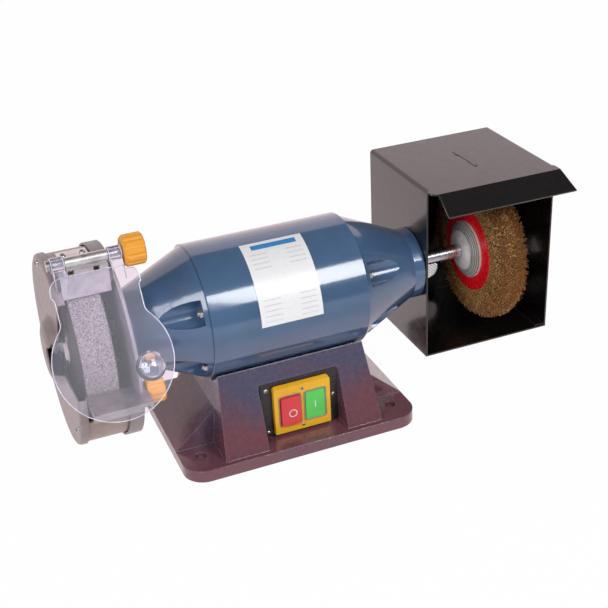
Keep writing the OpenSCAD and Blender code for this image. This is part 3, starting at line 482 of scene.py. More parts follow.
def grit_stone(name, tone, low, high):
    """Vitrified abrasive: pale bonded grit with dark pores, and painted shade on the flanks."""
    f = Finish(name, tone, 0.85)
    grit = f.cells(760)
    pores = f.noise(540, 4, 0.8)
    body = f.mixed(f.level(grit, 0.1, 0.75), tinted(tone, 0.62), tinted(tone, 1.45))
    rim = f.mixed(f.level(pores, 0.48, 0.60), body, tinted(tone, 0.38))
    # Painted shade: the flat sides of the wheel are darkened as if shaded by the guard.
    painted_shade_flank = f.mixed(f.level(pores, 0.4, 0.6), tinted(tone, 0.34), tinted(tone, 0.12))
    off = f.maths("ABSOLUTE", f.maths("SUBTRACT", f.axis("X"), (low.x + high.x) / 2))
    half = (high.x - low.x) / 2
    f.toned(off, half - 0.0016, half - 0.0004, rim, painted_shade_flank)
    f.bump(grit, 0.5, 0.0006)
    f.bump(pores, 0.35, 0.0006)
    return f.material


def moulded_plastic(name, tone, rough=0.32, glow=0.0):
    """Injection moulded plastic with a fine spark texture."""
    f = Finish(name, tone, rough)
    f.shaded(f.noise(28, 4), 0.3, 0.7, tone, 0.9, 1.07)
    f.matted(f.noise(380, 4, 0.6), 0.3, 0.75, rough - 0.07, rough + 0.12)
    f.soften(0.0009)
    f.bump(f.noise(900, 3), 0.10, 0.0002)
    return f.fixed(Subsurface_Weight=glow, Subsurface_Scale=0.003).material


def clear_sheet(name, tone, haze):
    """Clear polycarbonate with a cool tint and a few fine rub marks; light passes to the floor."""
    f = Finish(name, tone, 0.03)
    f.matted(f.noise(60, 5, 0.7, f.scaled(1, 1, 0.15)), 0.5, 0.8, 0.02, 0.12)
    f.fixed(Transmission_Weight=1.0 - haze, IOR=1.45)
    shadow = f.node("ShaderNodeLightPath").outputs["Is Shadow Ray"]
    f.overlaid(shadow, f.node("ShaderNodeBsdfTransparent", {"Color": (*tone, 1)}).outputs[0])
    return f.material


def label_print(name, white, blue):
    """Plain label: white film with one band under its upper edge and ruled lines below."""
    f = Finish(name, white, 0.3)
    low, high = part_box("rating_label")
    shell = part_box("motor_shell")
    centre_z = (shell[0].z + shell[1].z) / 2
    drop = f.maths("SUBTRACT", f.axis("Z"), centre_z)
    turn = f.maths("ARCTAN2", drop, f.maths("MULTIPLY", f.axis("Y"), -1.0))
    start, end = (math.atan2(corner.z - centre_z, -corner.y) for corner in (low, high))
    up = f.level(turn, start, end)
    along = f.level(f.axis("X"), low.x, high.x)

    def inside(value, least, most):
        over = f.maths("GREATER_THAN", value, least)
        return f.maths("MULTIPLY", over, f.maths("LESS_THAN", value, most))

    band = f.maths("MULTIPLY", inside(up, 0.885, 0.955), inside(along, 0.15, 0.88))
    row = f.maths("FRACT", f.maths("MULTIPLY", up, 17.0))
    rows = f.maths("MAXIMUM", inside(up, 0.59, 0.86), inside(up, 0.05, 0.34))
    thin = f.maths("MULTIPLY", f.maths("GREATER_THAN", row, 0.78), rows)
    columns = f.maths("MAXIMUM", inside(along, 0.08, 0.36), inside(along, 0.66, 0.93))
    lines = f.maths("MULTIPLY", f.maths("MULTIPLY", thin, columns), 0.40)
    f.put("Base Color", f.mixed(band, f.mixed(lines, white, (0.42, 0.42, 0.52)), blue))
    f.matted(f.noise(200, 4), 0.3, 0.7, 0.22, 0.4)
    f.bump(f.noise(300, 2), 0.04, 0.0002)
    return f.material


def edge_highlight_finish(name):
    """Edge of the clear sheet painted white: a painted highlight where the clear edge catches the
    light.
    """
    f = Finish(name, (0.86, 0.85, 0.92), 0.3)
    f.toned(f.noise(110, 4), 0.35, 0.7, (0.62, 0.61, 0.70), (0.95, 0.95, 0.98))
    f.matted(f.noise(400, 3), 0.3, 0.7, 0.15, 0.4)
    return f.material


def brass_wire(name, bright, dark):
    """Crimped brass coated wire, every wire a little different, with painted glints and painted
    shade in spots along it.
    """
    f = Finish(name, bright, 0.34, 0.25)
    speck = f.noise(560, 3, 0.8)
    # Painted glints and painted shade: spots along each wire turn dark or bright, and thin streaks
    # brighter still.
    painted_glint_and_shade = f.mixed(f.level(speck, 0.46, 0.58), dark, bright)
    f.toned(f.noise(700, 2), 0.56, 0.62, painted_glint_and_shade, tinted(bright, 1.5))
    f.matted(speck, 0.3, 0.7, 0.28, 0.5)
    return f.material


def packed_core(name, bright, dark):
    """The brush below its tips: wire ends packed side by side, with painted shade between them and
    painted glints along the strands.
    """
    f = Finish(name, dark, 0.5, 0.1)
    ends = f.cells(480)
    strands = f.noise(460, 4, 0.85)
    packed = f.mixed(f.level(ends, 0.18, 0.62), tinted(bright, 1.15), dark)
    # Painted glints: thin bright streaks along the strands.
    f.toned(strands, 0.53, 0.60, packed, tinted(bright, 1.6))
    f.matted(strands, 0.3, 0.7, 0.3, 0.6)
    f.bump(ends, 0.8, -0.0014)
    f.bump(strands, 0.6, 0.0010)
    return f.material


def ridged_casting(name, tone, centre, reach):
    """Dull zinc casting with fine rings turned about the shaft near its rim, and painted shade in
    their grooves.
    """
    f = Finish(name, tone, 0.42, 0.0)
    spot = f.across("MULTIPLY", f.across("SUBTRACT", f.place, centre), (0, 1, 1))
    out = f.node("ShaderNodeVectorMath", {0: spot}, operation="LENGTH").outputs["Value"]
    rings = f.maths("SINE", f.maths("MULTIPLY", out, 2600.0))
    cloud = f.level(f.noise(70, 5, 0.65), 0.3, 0.7)
    casting = f.mixed(cloud, tinted(tone, 0.72), tinted(tone, 1.18))
    rim = f.level(out, reach * 0.66, reach * 0.72)
    # Painted shade: the grooves between the rings are darkened.
    groove_shade = f.maths("MULTIPLY", f.level(rings, -0.9, 0.1, 0.8, 0.0), rim)
    f.put("Base Color", f.mixed(groove_shade, casting, tinted(tone, 0.22)))
    f.matted(f.noise(260, 4), 0.3, 0.75, 0.3, 0.55)
    f.soften(0.0008)
    f.bump(f.maths("MULTIPLY", rings, rim), 0.8, 0.0020)
    return f.material


def screen_wire(name):
    """Dark galvanised wire of the port's screen."""
    f = Finish(name, (0.03, 0.028, 0.028), 0.5, 0.2)
    f.toned(f.noise(500, 3), 0.3, 0.7, (0.015, 0.014, 0.014), (0.05, 0.045, 0.045))
    f.matted(f.noise(800, 3), 0.3, 0.7, 0.3, 0.55)
    return f.material


def copper_coil(name):
    """Varnished winding."""
    f = Finish(name, (0.42, 0.13, 0.04), 0.35, 0.6)
    turns = f.noise(500, 3, 0.6, f.scaled(0.3, 1, 1))
    f.toned(turns, 0.35, 0.65, (0.22, 0.06, 0.02), (0.55, 0.20, 0.07))
    f.matted(turns, 0.3, 0.7, 0.25, 0.5)
    f.bump(turns, 0.4, 0.0006)
    return f.material


def stacked_iron(name):
    """Laminated core iron."""
    f = Finish(name, (0.25, 0.26, 0.28), 0.4, 1.0)
    sheets = f.noise(1500, 1, 0.5, f.scaled(1, 0.01, 0.01))
    f.toned(sheets, 0.4, 0.6, (0.13, 0.13, 0.14), (0.3, 0.3, 0.32))
    f.matted(sheets, 0.3, 0.7, 0.3, 0.55)
    f.bump(sheets, 0.4, 0.0004)
    return f.material


def dress(material, *nodes):
    """Gives CAD nodes one finish."""
    for name in nodes:
        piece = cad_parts[name]
        if not piece.material_slots:
            piece.data.materials.append(material)
        for held in piece.material_slots:
            held.material = material


# ---------------------------------------------------------------- meshes


def placed(name, data, *materials):
    """A new object that holds a mesh, a lamp or a camera."""
    for material in materials:
        data.materials.append(material)
    made = bpy.data.objects.new(name, data)
    bpy.context.scene.collection.objects.link(made)
    return made


def built(name, work, *materials, outwards=True, smooth=False):
    """An object from a bmesh, which is used up."""
    if outwards:
        bmesh.ops.recalc_face_normals(work, faces=work.faces)
    mesh = bpy.data.meshes.new(name)
    work.to_mesh(mesh)
    work.free()
    if smooth:
        for face in mesh.polygons:
            face.use_smooth = True
    return placed(name, mesh, *materials)


def merged(node):
    """A bmesh of a CAD node with its loose triangles joined."""
    work = bmesh.new()
    work.from_mesh(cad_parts[node].data)
    bmesh.ops.remove_doubles(work, verts=work.verts, dist=MERGE)
    work.normal_update()
    return work


def broad_side(work):
    """Direction of a flat solid's largest face."""
    return max(work.faces, key=lambda face: face.calc_area()).normal.copy()


def stitched(work, near, far):
    """Faces between two closed loops, either of which may be a single point."""
    count = max(len(near), len(far))
    for step in range(count):
        after = (step + 1) % count
        corners = (
            near[step % len(near)], near[after % len(near)],
            far[after % len(far)], far[step % len(far)],
        )
        face = tuple(dict.fromkeys(corners))
        if len(face) > 2:
            work.faces.new(face)


def revolved(name, profile, centre, material, sides=96):
    """A solid turned about the X direction from (radius, x) points."""
    work = bmesh.new()
    rings = []
    for radius, x in profile:
        turns = [math.tau * step / sides for step in range(sides if radius > MERGE else 1)]
        rings.append([
            work.verts.new((
                centre.x + x,
                centre.y + radius * math.cos(turn),
                centre.z + radius * math.sin(turn),
            ))
            for turn in turns
        ])
    for near, far in zip(rings, rings[1:]):
        stitched(work, near, far)
    return built(name, work, material, smooth=True)


def islands(node):
    """The box of each separate solid of a CAD node, from left to right and in a fixed order."""
    work = merged(node)
    left = set(work.verts)
    found = []
    while left:
        stack = [left.pop()]
        group = []
        while stack:
            vert = stack.pop()
            group.append(vert.co.copy())
            for edge in vert.link_edges:
                other = edge.other_vert(vert)
                if other in left:
                    left.remove(other)
                    stack.append(other)
        found.append(tuple(
            Vector([pick(co[axis] for co in group) for axis in range(3)]) for pick in (min, max)
        ))
    work.free()
    return sorted(found, key=lambda pair: tuple(pair[0]))


def port_place():
    """Centre and radius of the dust port: the round edge loop in the hood's back wall."""
    work = merged("hood_back")
    low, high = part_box("hood_back")
    side, top = 0.01, 0.02  # the wall's own edges are nearer to its box than this
    rim = [
        vert.co.copy() for vert in work.verts
        if low.x + side < vert.co.x < high.x - side and low.z + side < vert.co.z < high.z - top
    ]
    work.free()
    middle = sum(rim, Vector()) / len(rim)
    level = Vector((middle.x, 0, middle.z))
    return middle, max((Vector((co.x, 0, co.z)) - level).length for co in rim)


def edged(node, face_material, edge_material):
    """A copy of a flat CAD node whose narrow faces have a material of their own."""
    work = merged(node)
    broad = broad_side(work)
    for face in work.faces:
        face.material_index = 0 if abs(face.normal.dot(broad)) > 0.5 else 1
        face.smooth = False
    return built(node + "_dressed", work, face_material, edge_material, outwards=False)


def domed(node, material, rise, steps=10):
    """A lens in place of a flat round CAD node: level at the back, bulging to the front."""
    work = merged(node)
    out = broad_side(work)
    if out.y > 0:
        out.negate()
    low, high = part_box(node)
    middle = (low + high) / 2
    heights = [(v.co - middle).dot(out) for v in work.verts]
    radius = max(((v.co - middle) - out * (v.co - middle).dot(out)).length for v in work.verts)
    work.free()
    back, front = min(heights), max(heights)
    bulge = [
        (radius * (1 - k / steps), front + rise * (1 - (1 - k / steps) ** 2))
        for k in range(steps + 1)
    ]
    profile = [(0.0, back), (radius, back)] + bulge
    made = revolved(node + "_dressed", profile, Vector(), material, 64)
    turn = Vector((1, 0, 0)).rotation_difference(out).to_matrix().to_4x4()
    made.data.transform(Matrix.Translation(middle) @ turn)
    return made


def painted_line(name, points, wide, z, material, thick=0.0001):
    """A thin painted stroke on a level surface, along points given as (x, y)."""
    work = bmesh.new()
    rails = []
    for index, (x, y) in enumerate(points):
        before = points[max(index - 1, 0)]
        after = points[min(index + 1, len(points) - 1)]
        along = Vector((after[0] - before[0], after[1] - before[1], 0)).normalized()
        side = Vector((-along.y, along.x, 0)) * wide / 2
        here = Vector((x, y, z))
        corners = ((side, 0), (side, thick), (-side, thick), (-side, 0))
        rails.append([work.verts.new(here + s + Vector((0, 0, h))) for s, h in corners])
    for near, far in zip(rails, rails[1:]):
        stitched(work, near, far)
    for end in (rails[0], rails[-1]):
        work.faces.new(end)
    return built(name, work, material)


def flat_plate(name, outlines, y, thick, material):
    """A thin upright plate facing the operator, between an outline and an optional inner one."""
    work = bmesh.new()
    rings = [
        [[work.verts.new((x, depth, z)) for x, z in outline] for depth in (y, y - thick)]
        for outline in outlines
    ]
    for back, front in rings:
        stitched(work, back, front)
    for layer in (0, 1):
        if len(rings) == 1:
            work.faces.new(rings[0][layer])
        else:
            stitched(work, rings[0][layer], rings[1][layer])
    return built(name, work, material)


def grown(name, tree, values, start=None):
    """Runs a geometry tree and returns the plain mesh that it makes."""
    carrier = placed(name + "_carrier", start or bpy.data.meshes.new(name + "_start"))
    modifier = carrier.modifiers.new("grow", "NODES")
    modifier.node_group = tree
    for item in tree.interface.items_tree:
        if item.item_type == "SOCKET" and item.in_out == "INPUT" and item.name in values:
            modifier[item.identifier] = values[item.name]
    graph = bpy.context.evaluated_depsgraph_get()
    mesh = bpy.data.meshes.new_from_object(carrier.evaluated_get(graph))
    bpy.data.objects.remove(carrier)
    mesh.name = name
    return placed(name, mesh)


# ---------------------------------------------------------------- fasteners, beads and screen


def screw_tree():
    """Pan heads with a cross recess on every point, turned to the point's own direction."""
    g = Growth("pan_screws", Head_Radius=0.0036, Head_Height=0.0024, Material=None,
               Recess_Material=None)
    radius, height = g.given["Head Radius"], g.given["Head Height"]

    def part(size, much):
        return g.maths("MULTIPLY", size, much)

    feeds = {"Segments": 20, "Rings": 12, "Radius": 1.0}
    ball = g.shape("GeometryNodeMeshUVSphere", feeds)
    dome = g.moved(ball, Scale=g.vector(radius, radius, part(height, 0.92)))
    pieces = [g.painted(g.smooth(dome))]
    # Painted shade: the cross recess is two dark bars standing in for the shaded hollow.
    for wide, deep in ((1.15, 0.26), (0.26, 1.15)):
        size = g.vector(part(radius, wide), part(radius, deep), part(height, 0.34))
        bar = g.shape("GeometryNodeMeshCube", {"Size": size})
        sunk = g.moved(bar, Translation=g.vector(0.0, 0.0, part(height, 0.78)))
        pieces.append(g.painted(sunk, "Recess Material"))

    feeds = {"Vector": g.marked("aim", "FLOAT_VECTOR")}
    turn = g.shape("FunctionNodeAlignRotationToVector", feeds, axis="Z")
    seats = g.shape("GeometryNodeMeshToPoints", {"Mesh": g.given["Geometry"]})
    heads = g.repeated(seats, g.together(*pieces), Rotation=turn)
    g.feed(g.realised(heads), g.end)
    return g.tree


def pan_screws(name, seats, radius, height, metal, recess):
    """Pan head screws on (place, direction) seats."""
    mesh = bpy.data.meshes.new(name + "_seats")
    mesh.from_pydata([place for place, _ in seats], [], [])
    aims = mesh.attributes.new("aim", "FLOAT_VECTOR", "POINT")
    for index, (_, direction) in enumerate(seats):
        aims.data[index].vector = direction
    return grown(name, screw_tree(), {
        "Head Radius": radius, "Head Height": height, "Material": metal, "Recess Material": recess,
    }, mesh)


def bead_tree():
    """A round bead that follows a rectangle with round corners."""
    g = Growth("button_bead", Width=0.026, Height=0.04, Corner=0.003, Bead=0.001,
               Centre=(0.0, 0.0, 0.0), Material=None)
    feeds = {"Width": g.given["Width"], "Height": g.given["Height"]}
    outline = g.shape("GeometryNodeCurvePrimitiveQuadrilateral", feeds)
    feeds = {"Curve": outline, "Radius": g.given["Corner"], "Count": 6}
    rounded = g.shape("GeometryNodeFilletCurve", feeds, mode="POLY")
    bead = g.tube(rounded, g.given["Bead"], 10)
    upright = g.moved(bead, Rotation=(math.pi / 2, 0, 0), Translation=g.given["Centre"])
    return g.finish(g.smooth(upright))


def edge_highlight_tree():
    """A thin line just inside every sharp edge of a sheet, that carries a painted highlight."""
    g = Growth("edge_line", Bead=0.0004, Inset=0.0005, Material=None)
    normal = g.node("GeometryNodeInputNormal").outputs[0]
    inward = g.maths("MULTIPLY", g.given["Inset"], -1.0)
    shift = g.shape("ShaderNodeVectorMath", {0: normal, "Scale": inward}, operation="SCALE")
    bend = g.node("GeometryNodeInputMeshEdgeAngle").outputs["Unsigned Angle"]
    feeds = {0: bend, 1: math.radians(50)}
    sharp = g.shape("FunctionNodeCompare", feeds, data_type="FLOAT", operation="GREATER_THAN")
    feeds = {"Geometry": g.given["Geometry"], "Name": "sharp_line", "Value": sharp}
    held = g.shape("GeometryNodeStoreNamedAttribute", feeds, data_type="BOOLEAN", domain="EDGE")
    inset = g.shape("GeometryNodeSetPosition", {"Geometry": held, "Offset": shift})
    feeds = {"Mesh": inset, "Selection": g.marked("sharp_line", "BOOLEAN")}
    line = g.shape("GeometryNodeMeshToCurve", feeds)
    return g.finish(g.smooth(g.tube(line, g.given["Bead"], 6, caps=True)))


def screen_tree():
    """Two layers of straight wires, each cut to the round port that they cover."""
    g = Growth("port_screen", Radius=0.016, Wires=9, Wire=0.0004, Centre=(0.0, 0.0, 0.0),
               Material=None)
    radius, wires, wire = (g.given[name] for name in ("Radius", "Wires", "Wire"))
    rod = g.shape("GeometryNodeMeshCylinder", {"Vertices": 6, "Depth": 2.0, "Radius": wire})
    gap = g.maths("DIVIDE", g.maths("MULTIPLY", radius, 2.0), g.maths("ADD", wires, 1.0))
    row = g.shape("GeometryNodeMeshLine", {
        "Count": wires,
        "Start Location": g.vector(g.maths("SUBTRACT", gap, radius), 0.0, 0.0),
        "Offset": g.vector(gap, 0.0, 0.0),
    }, mode="OFFSET")
    across = g.maths("POWER", g.maths("DIVIDE", g.here("X"), radius), 2.0)
    chord = g.maths("MULTIPLY", g.maths("SQRT", g.maths("SUBTRACT", 1.0, across)), radius)
    layer = g.repeated(row, rod, Scale=g.vector(1.0, 1.0, chord))
    layers = []
    for side in (1.0, -1.0):
        lift = g.vector(0.0, g.maths("MULTIPLY", wire, side), 0.0)
        layers.append(g.moved(layer, Rotation=(0, side * math.pi / 4, 0), Translation=lift))
    return g.finish(g.moved(g.together(*layers), Translation=g.given["Centre"]))


# ---------------------------------------------------------------- wire brush


def brush_tree():
    """Crimped wires that stand on the shaft axis and lean a little."""
    g = Growth("crimped_brush", Wires=5000, Inner_Radius=0.06, Outer_Radius=0.1, Half_Width=0.02,
               Wire_Radius=0.0003, Points=7, Crimp=0.001, Fan=0.225, Centre=(0.0, 0.0, 0.0),
               Seed=7, Material=None)
    given = g.given

    def product(a, b):
        return g.maths("MULTIPLY", a, b)

    def chance(low, high, offset):
        """A random number for each wire, with a seed of its own."""
        feeds = {2: low, 3: high, "Seed": g.maths("ADD", given["Seed"], offset)}
        return g.node("FunctionNodeRandomValue", feeds, data_type="FLOAT").outputs[1]

    def about(axis, amount):
        return g.shape("FunctionNodeAxisAngleToRotation", {"Axis": axis, "Angle": amount})

    def then(first, second):
        return g.shape("FunctionNodeRotateRotation", {0: first, 1: second}, rotation_space="GLOBAL")

    # one wire along +Z with waves in two directions
    ends = {
        end: g.vector(0.0, 0.0, given[radius])
        for end, radius in (("Start", "Inner Radius"), ("End", "Outer Radius"))
    }
    line = g.shape("GeometryNodeCurvePrimitiveLine", ends)
    cut = g.shape("GeometryNodeResampleCurve", {"Curve": line, "Count": given["Points"]})
    waves = [
        product(g.maths(work, product(g.here("Z"), pitch)), given["Crimp"])
        for work, pitch in (("SINE", 460.0), ("COSINE", 330.0))
    ]
    bent = g.shape("GeometryNodeSetPosition", {"Geometry": cut, "Offset": g.vector(*waves, 0.0)})
    strand = g.tube(bent, given["Wire Radius"], 3, caps=True)

    # where the wires stand: side runs from -1 at the left of the brush to 1 at its right
    even = chance(-1.0, 1.0, 1)
    crowd = g.maths("POWER", g.maths("ABSOLUTE", even), 0.75)
    side = product(g.maths("SIGN", even), crowd)
    off = g.maths("ABSOLUTE", side)
    along = product(product(side, given["Half Width"]), 0.09)
    feeds = {0: g.vector(along, 0.0, 0.0), 1: given["Centre"]}
    place = g.shape("ShaderNodeVectorMath", feeds, operation="ADD")
    roots = g.shape("GeometryNodePoints", {"Count": given["Wires"], "Position": place})

    # how each wire turns, leans and ends
    spin = about((0, 0, 1), chance(0.0, math.tau, 2))
    lean = g.maths("ADD", product(side, given["Fan"]), chance(-0.06, 0.06, 3))
    turn = then(then(spin, about((0, 1, 0), lean)), about((1, 0, 0), chance(0.0, math.tau, 4)))
    rounding = product(g.maths("POWER", off, 2.4), 0.15)
    stray = g.maths("POWER", chance(0.0, 1.0, 6), 2.0)
    short = product(product(g.maths("GREATER_THAN", off, 0.8), stray), 0.3)
    full = g.maths("SUBTRACT", g.maths("SUBTRACT", chance(0.945, 0.999, 5), rounding), short)
    return g.finish(g.repeated(roots, strand, Rotation=turn, Scale=g.vector(1.0, 1.0, full)))


# ---------------------------------------------------------------- studio


def paper_sweep(front, back, top, wide=4.0, bend=0.45, steps=12, drop=0.0004):
    """A sheet of paper that lies just under the grinder and curves up behind it."""
    line = [(-front, 0.0), (back - bend, 0.0)]
    for step in range(1, steps + 1):
        turn = math.pi / 2 * step / steps
        line.append((back - bend + bend * math.sin(turn), bend - bend * math.cos(turn)))
    line.append((back, top))
    work = bmesh.new()
    rows = [[work.verts.new((x, y, z - drop)) for x in (-wide, wide)] for y, z in line]
    for near, far in zip(rows, rows[1:]):
        work.faces.new((near[0], near[1], far[1], far[0]))
    return built(STAGE_NAME, work, outwards=False, smooth=True)


def studio_paper(s):
    """Matt white paper that shows as plain white; near the grinder it glows with a faint tint for
    glossy rays, a painted reflection.
    """
    paper = Finish("floor_paper", (0.86, 0.86, 0.87), 0.9)
    path = paper.node("ShaderNodeLightPath").outputs
    # Painted reflection: glossy rays see the paper near the grinder glow with a faint tint.
    near = paper.level(paper.axis("Y"), -0.36, -0.22)
    painted_reflection = paper.maths("MULTIPLY", path["Is Glossy Ray"], near)
    through = paper.maths("MAXIMUM", path["Is Camera Ray"], path["Is Transmission Ray"])
    tint = paper.mixed(path["Is Glossy Ray"], (1, 1, 1), s.paper_reflection_tint)
    lit = paper.node("ShaderNodeEmission", {"Color": tint}).outputs[0]
    shown = paper.maths("MAXIMUM", through, painted_reflection)
    paper.overlaid(paper.maths("MULTIPLY", shown, s.paper_white), lit)
    return paper.material


# ---------------------------------------------------------------- operators


class GRINDER_OT_studio(bpy.types.Operator):
    """Sets the camera, the floor, the surround and the softboxes"""

    bl_idname = "grinder.studio"
    bl_label = "Studio"

    def execute(self, context):
        s = context.scene.grinder_studio
        scene = context.scene
        scene.view_settings.view_transform = "Standard"

        data = bpy.data.cameras.new("camera")
        data.lens = s.lens
        data.sensor_width = 36
        data.shift_x = s.shift
        data.clip_start, data.clip_end = 0.05, 30
        camera = placed("camera", data)
        turn = (
            Matrix.Rotation(s.yaw, 4, "Z")
            @ Matrix.Rotation(math.pi / 2 - s.pitch, 4, "X")
            @ Matrix.Rotation(s.roll, 4, "Z")
        )
        camera.matrix_world = Matrix.Translation(s.place) @ turn
        scene.camera = camera

        surround = bpy.data.worlds.new("surround")
        surround.use_nodes = True
        tree = surround.node_tree
        path = tree.nodes.new("ShaderNodeLightPath")
        strength = tree.nodes.new("ShaderNodeMapRange")
        strength.inputs["To Min"].default_value = s.ambient
        strength.inputs["To Max"].default_value = 1.0
        tree.links.new(path.outputs["Is Camera Ray"], strength.inputs["Value"])
        tree.links.new(strength.outputs[0], tree.nodes["Background"].inputs["Strength"])
        tree.nodes["Background"].inputs["Color"].default_value = (1, 1, 1, 1)
        scene.world = surround

        sweep = paper_sweep(s.paper_front, s.paper_back, s.paper_top)
        sweep.data.materials.append(studio_paper(s))

        for side in ("right", "left"):
            set_up = {word: getattr(s, f"{side}_{word}") for word in
                      ("power", "turn", "rise", "wide", "tall")}
            lamp = bpy.data.lights.new(side + "_softbox", "AREA")
            lamp.shape = "RECTANGLE"
            lamp.size, lamp.size_y = set_up["wide"], set_up["tall"]
            lamp.energy = set_up["power"]
            holder = placed(lamp.name, lamp)
            turn, rise = set_up["turn"], set_up["rise"]
            away = Vector((
                math.sin(turn) * math.cos(rise), -math.cos(turn) * math.cos(rise), math.sin(rise)
            ))
            holder.location = LAMP_TARGET + away * LAMP_DISTANCE
            holder.rotation_euler = away.to_track_quat("Z", "Y").to_euler()
        return {"FINISHED"}


class GRINDER_OT_motor(bpy.types.Operator):
    """Enamels the motor and its base, and finishes what is inside them"""

    bl_idname = "grinder.motor"
    bl_label = "Motor and base"

    def execute(self, context):
        p = context.scene.grinder_paint
        reflection_full_below, slate_above = 0.02, 0.12
        dress(cast_enamel("base_enamel", p.base_slate, p.base_plum_reflection, reflection_full_below, slate_above),
              "base_casting")
        dress(gloss_enamel("motor_enamel", p.shell_blue),
              "motor_shell", "left_end_bell", "right_end_bell")
        dress(moulded_plastic("bottom_black", (0.02, 0.02, 0.022)), "bottom_cover")
        dress(label_print("label_print", p.label_white, p.label_blue), "rating_label")
        dress(zinc_plate("bolt_zinc", p.zinc), "bottom_screws", "tie_rods")
        dress(stacked_iron("core_iron"), "stator_core", "rotor_core")
        dress(copper_coil("winding_copper"), "stator_windings")
        dress(turned_steel("turned_steel", p.steel), "motor_shaft", "bearing_outer_rings",
              "bearing_inner_rings", "wheel_flanges", "wheel_nut", "brush_nut")
        return {"FINISHED"}


class GRINDER_OT_guard(bpy.types.Operator):
    """Finishes the grinding wheel, its guard, the tool rest and their metal fittings"""

    bl_idname = "grinder.guard"
    bl_label = "Wheel, guard and rest"

    def execute(self, context):
        p = context.scene.grinder_paint
        dress(grit_stone("grinding_stone", p.stone, *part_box("grinding_wheel")), "grinding_wheel")
        dress(satin_paint("guard_paint", p.guard_grey), "guard_body")
        dress(satin_paint("cover_paint", p.cover_grey), "outer_cover")
        dress(satin_paint("rim_paint", p.rim_grey), "guard_rim")
        dress(zinc_plate("rest_plate", p.rest_metal, 0.42), "tool_rest")
        dress(zinc_plate("bracket_zinc", tinted(p.zinc, 1.35), 0.42), "shield_bracket")
        dress(zinc_plate("rod_zinc", p.zinc, 0.32), "shield_rod", "rest_bolt")
        dress(moulded_plastic("knob_plastic", p.knob_orange, 0.34, 0.1), "rest_knob", "shield_knob")
        return {"FINISHED"}


class GRINDER_OT_guard_screws(bpy.types.Operator):
    """Gives the guard's cover and the shield's bracket their pan head screws"""

    bl_idname = "grinder.guard_screws"
    bl_label = "Guard screws"

    def execute(self, context):
        p = context.scene.grinder_paint
        metal = zinc_plate("screw_zinc", p.zinc, 0.28)
        # Painted shade inside the cross recesses.
        recess = moulded_plastic("recess_dark", (0.02, 0.018, 0.018), 0.5)
        dress(metal, "guard_bolts")
        outward, upward = Vector((-1, 0, 0)), Vector((0, 0.035, 1))
        for node, direction in (("cover_screws", outward), ("bracket_screws", upward)):
            seats = []
            for low, high in islands(node):
                middle = (low + high) / 2
                if direction is outward:
                    seats.append((Vector((high.x, middle.y, middle.z)), direction))
                    radius, height = (high.z - low.z) / 2, high.x - low.x
                else:
                    seats.append((Vector((middle.x, middle.y, low.z)), direction))
                    radius, height = (high.x - low.x) / 2, high.z - low.z
            screws = pan_screws(node + "_dressed", seats, radius, height, metal, recess)
            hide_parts(node)
            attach(screws, "frame")
        return {"FINISHED"}


class GRINDER_OT_eye_shield(bpy.types.Operator):
    """Makes the clear eye shield, the painted highlight along its edge and its lens"""

    bl_idname = "grinder.eye_shield"
    bl_label = "Eye shield"

    def execute(self, context):
        clear = clear_sheet("shield_clear", (0.90, 0.89, 0.97), 0.075)
        shield = edged("eye_shield", clear, edge_highlight_finish("shield_edge"))
        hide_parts("eye_shield")
        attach(shield, "shield")

        line = grown("shield_edge_line", edge_highlight_tree(), {
            "Bead": 0.00045, "Inset": 0.0006, "Material": edge_highlight_finish("edge_line"),
        }, shield.data.copy())
        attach(line, "shield")

        bulge = 0.0065
        lens = domed("shield_lens", clear_sheet("lens_clear", (0.96, 0.96, 1.0), 0.05), bulge)
        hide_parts("shield_lens")
        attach(lens, "shield")
        return {"FINISHED"}


class GRINDER_OT_hood(bpy.types.Operator):
    """Paints the hood and the arrow on its top"""

    bl_idname = "grinder.hood"
    bl_label = "Hood"

    def execute(self, context):
        p = context.scene.grinder_paint
        dress(gloss_black("hood_black", p.hood_black), "brush_hood", "hood_back")
        dress(zinc_plate("hood_screw_zinc", p.zinc, 0.28), "hood_screws")
        ink = moulded_plastic("arrow_ink", (0.008, 0.007, 0.010), 0.5)
        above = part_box("brush_hood")[1].z + 0.00002
        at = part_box("brush_wires")[0].x + 0.0140
        shaft = ((-0.0008, 0.056), (0.0003, 0.038), (0.0010, 0.020), (0.0, -0.004))
        barb = ((0.0046, 0.003), (0.0030, -0.0025), (0.0, -0.004))
        tail = ((-0.0045, 0.047), (0.0004, 0.040))
        for name, points, wide in (
            ("arrow_shaft", shaft, 0.0016),
            ("arrow_barb", barb, 0.0016),
            ("arrow_tail", tail, 0.0014),
        ):
            points = [(at + x, y) for x, y in points]
            stroke = painted_line(name, points, wide, above, ink)
            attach(stroke, "frame")
        return {"FINISHED"}


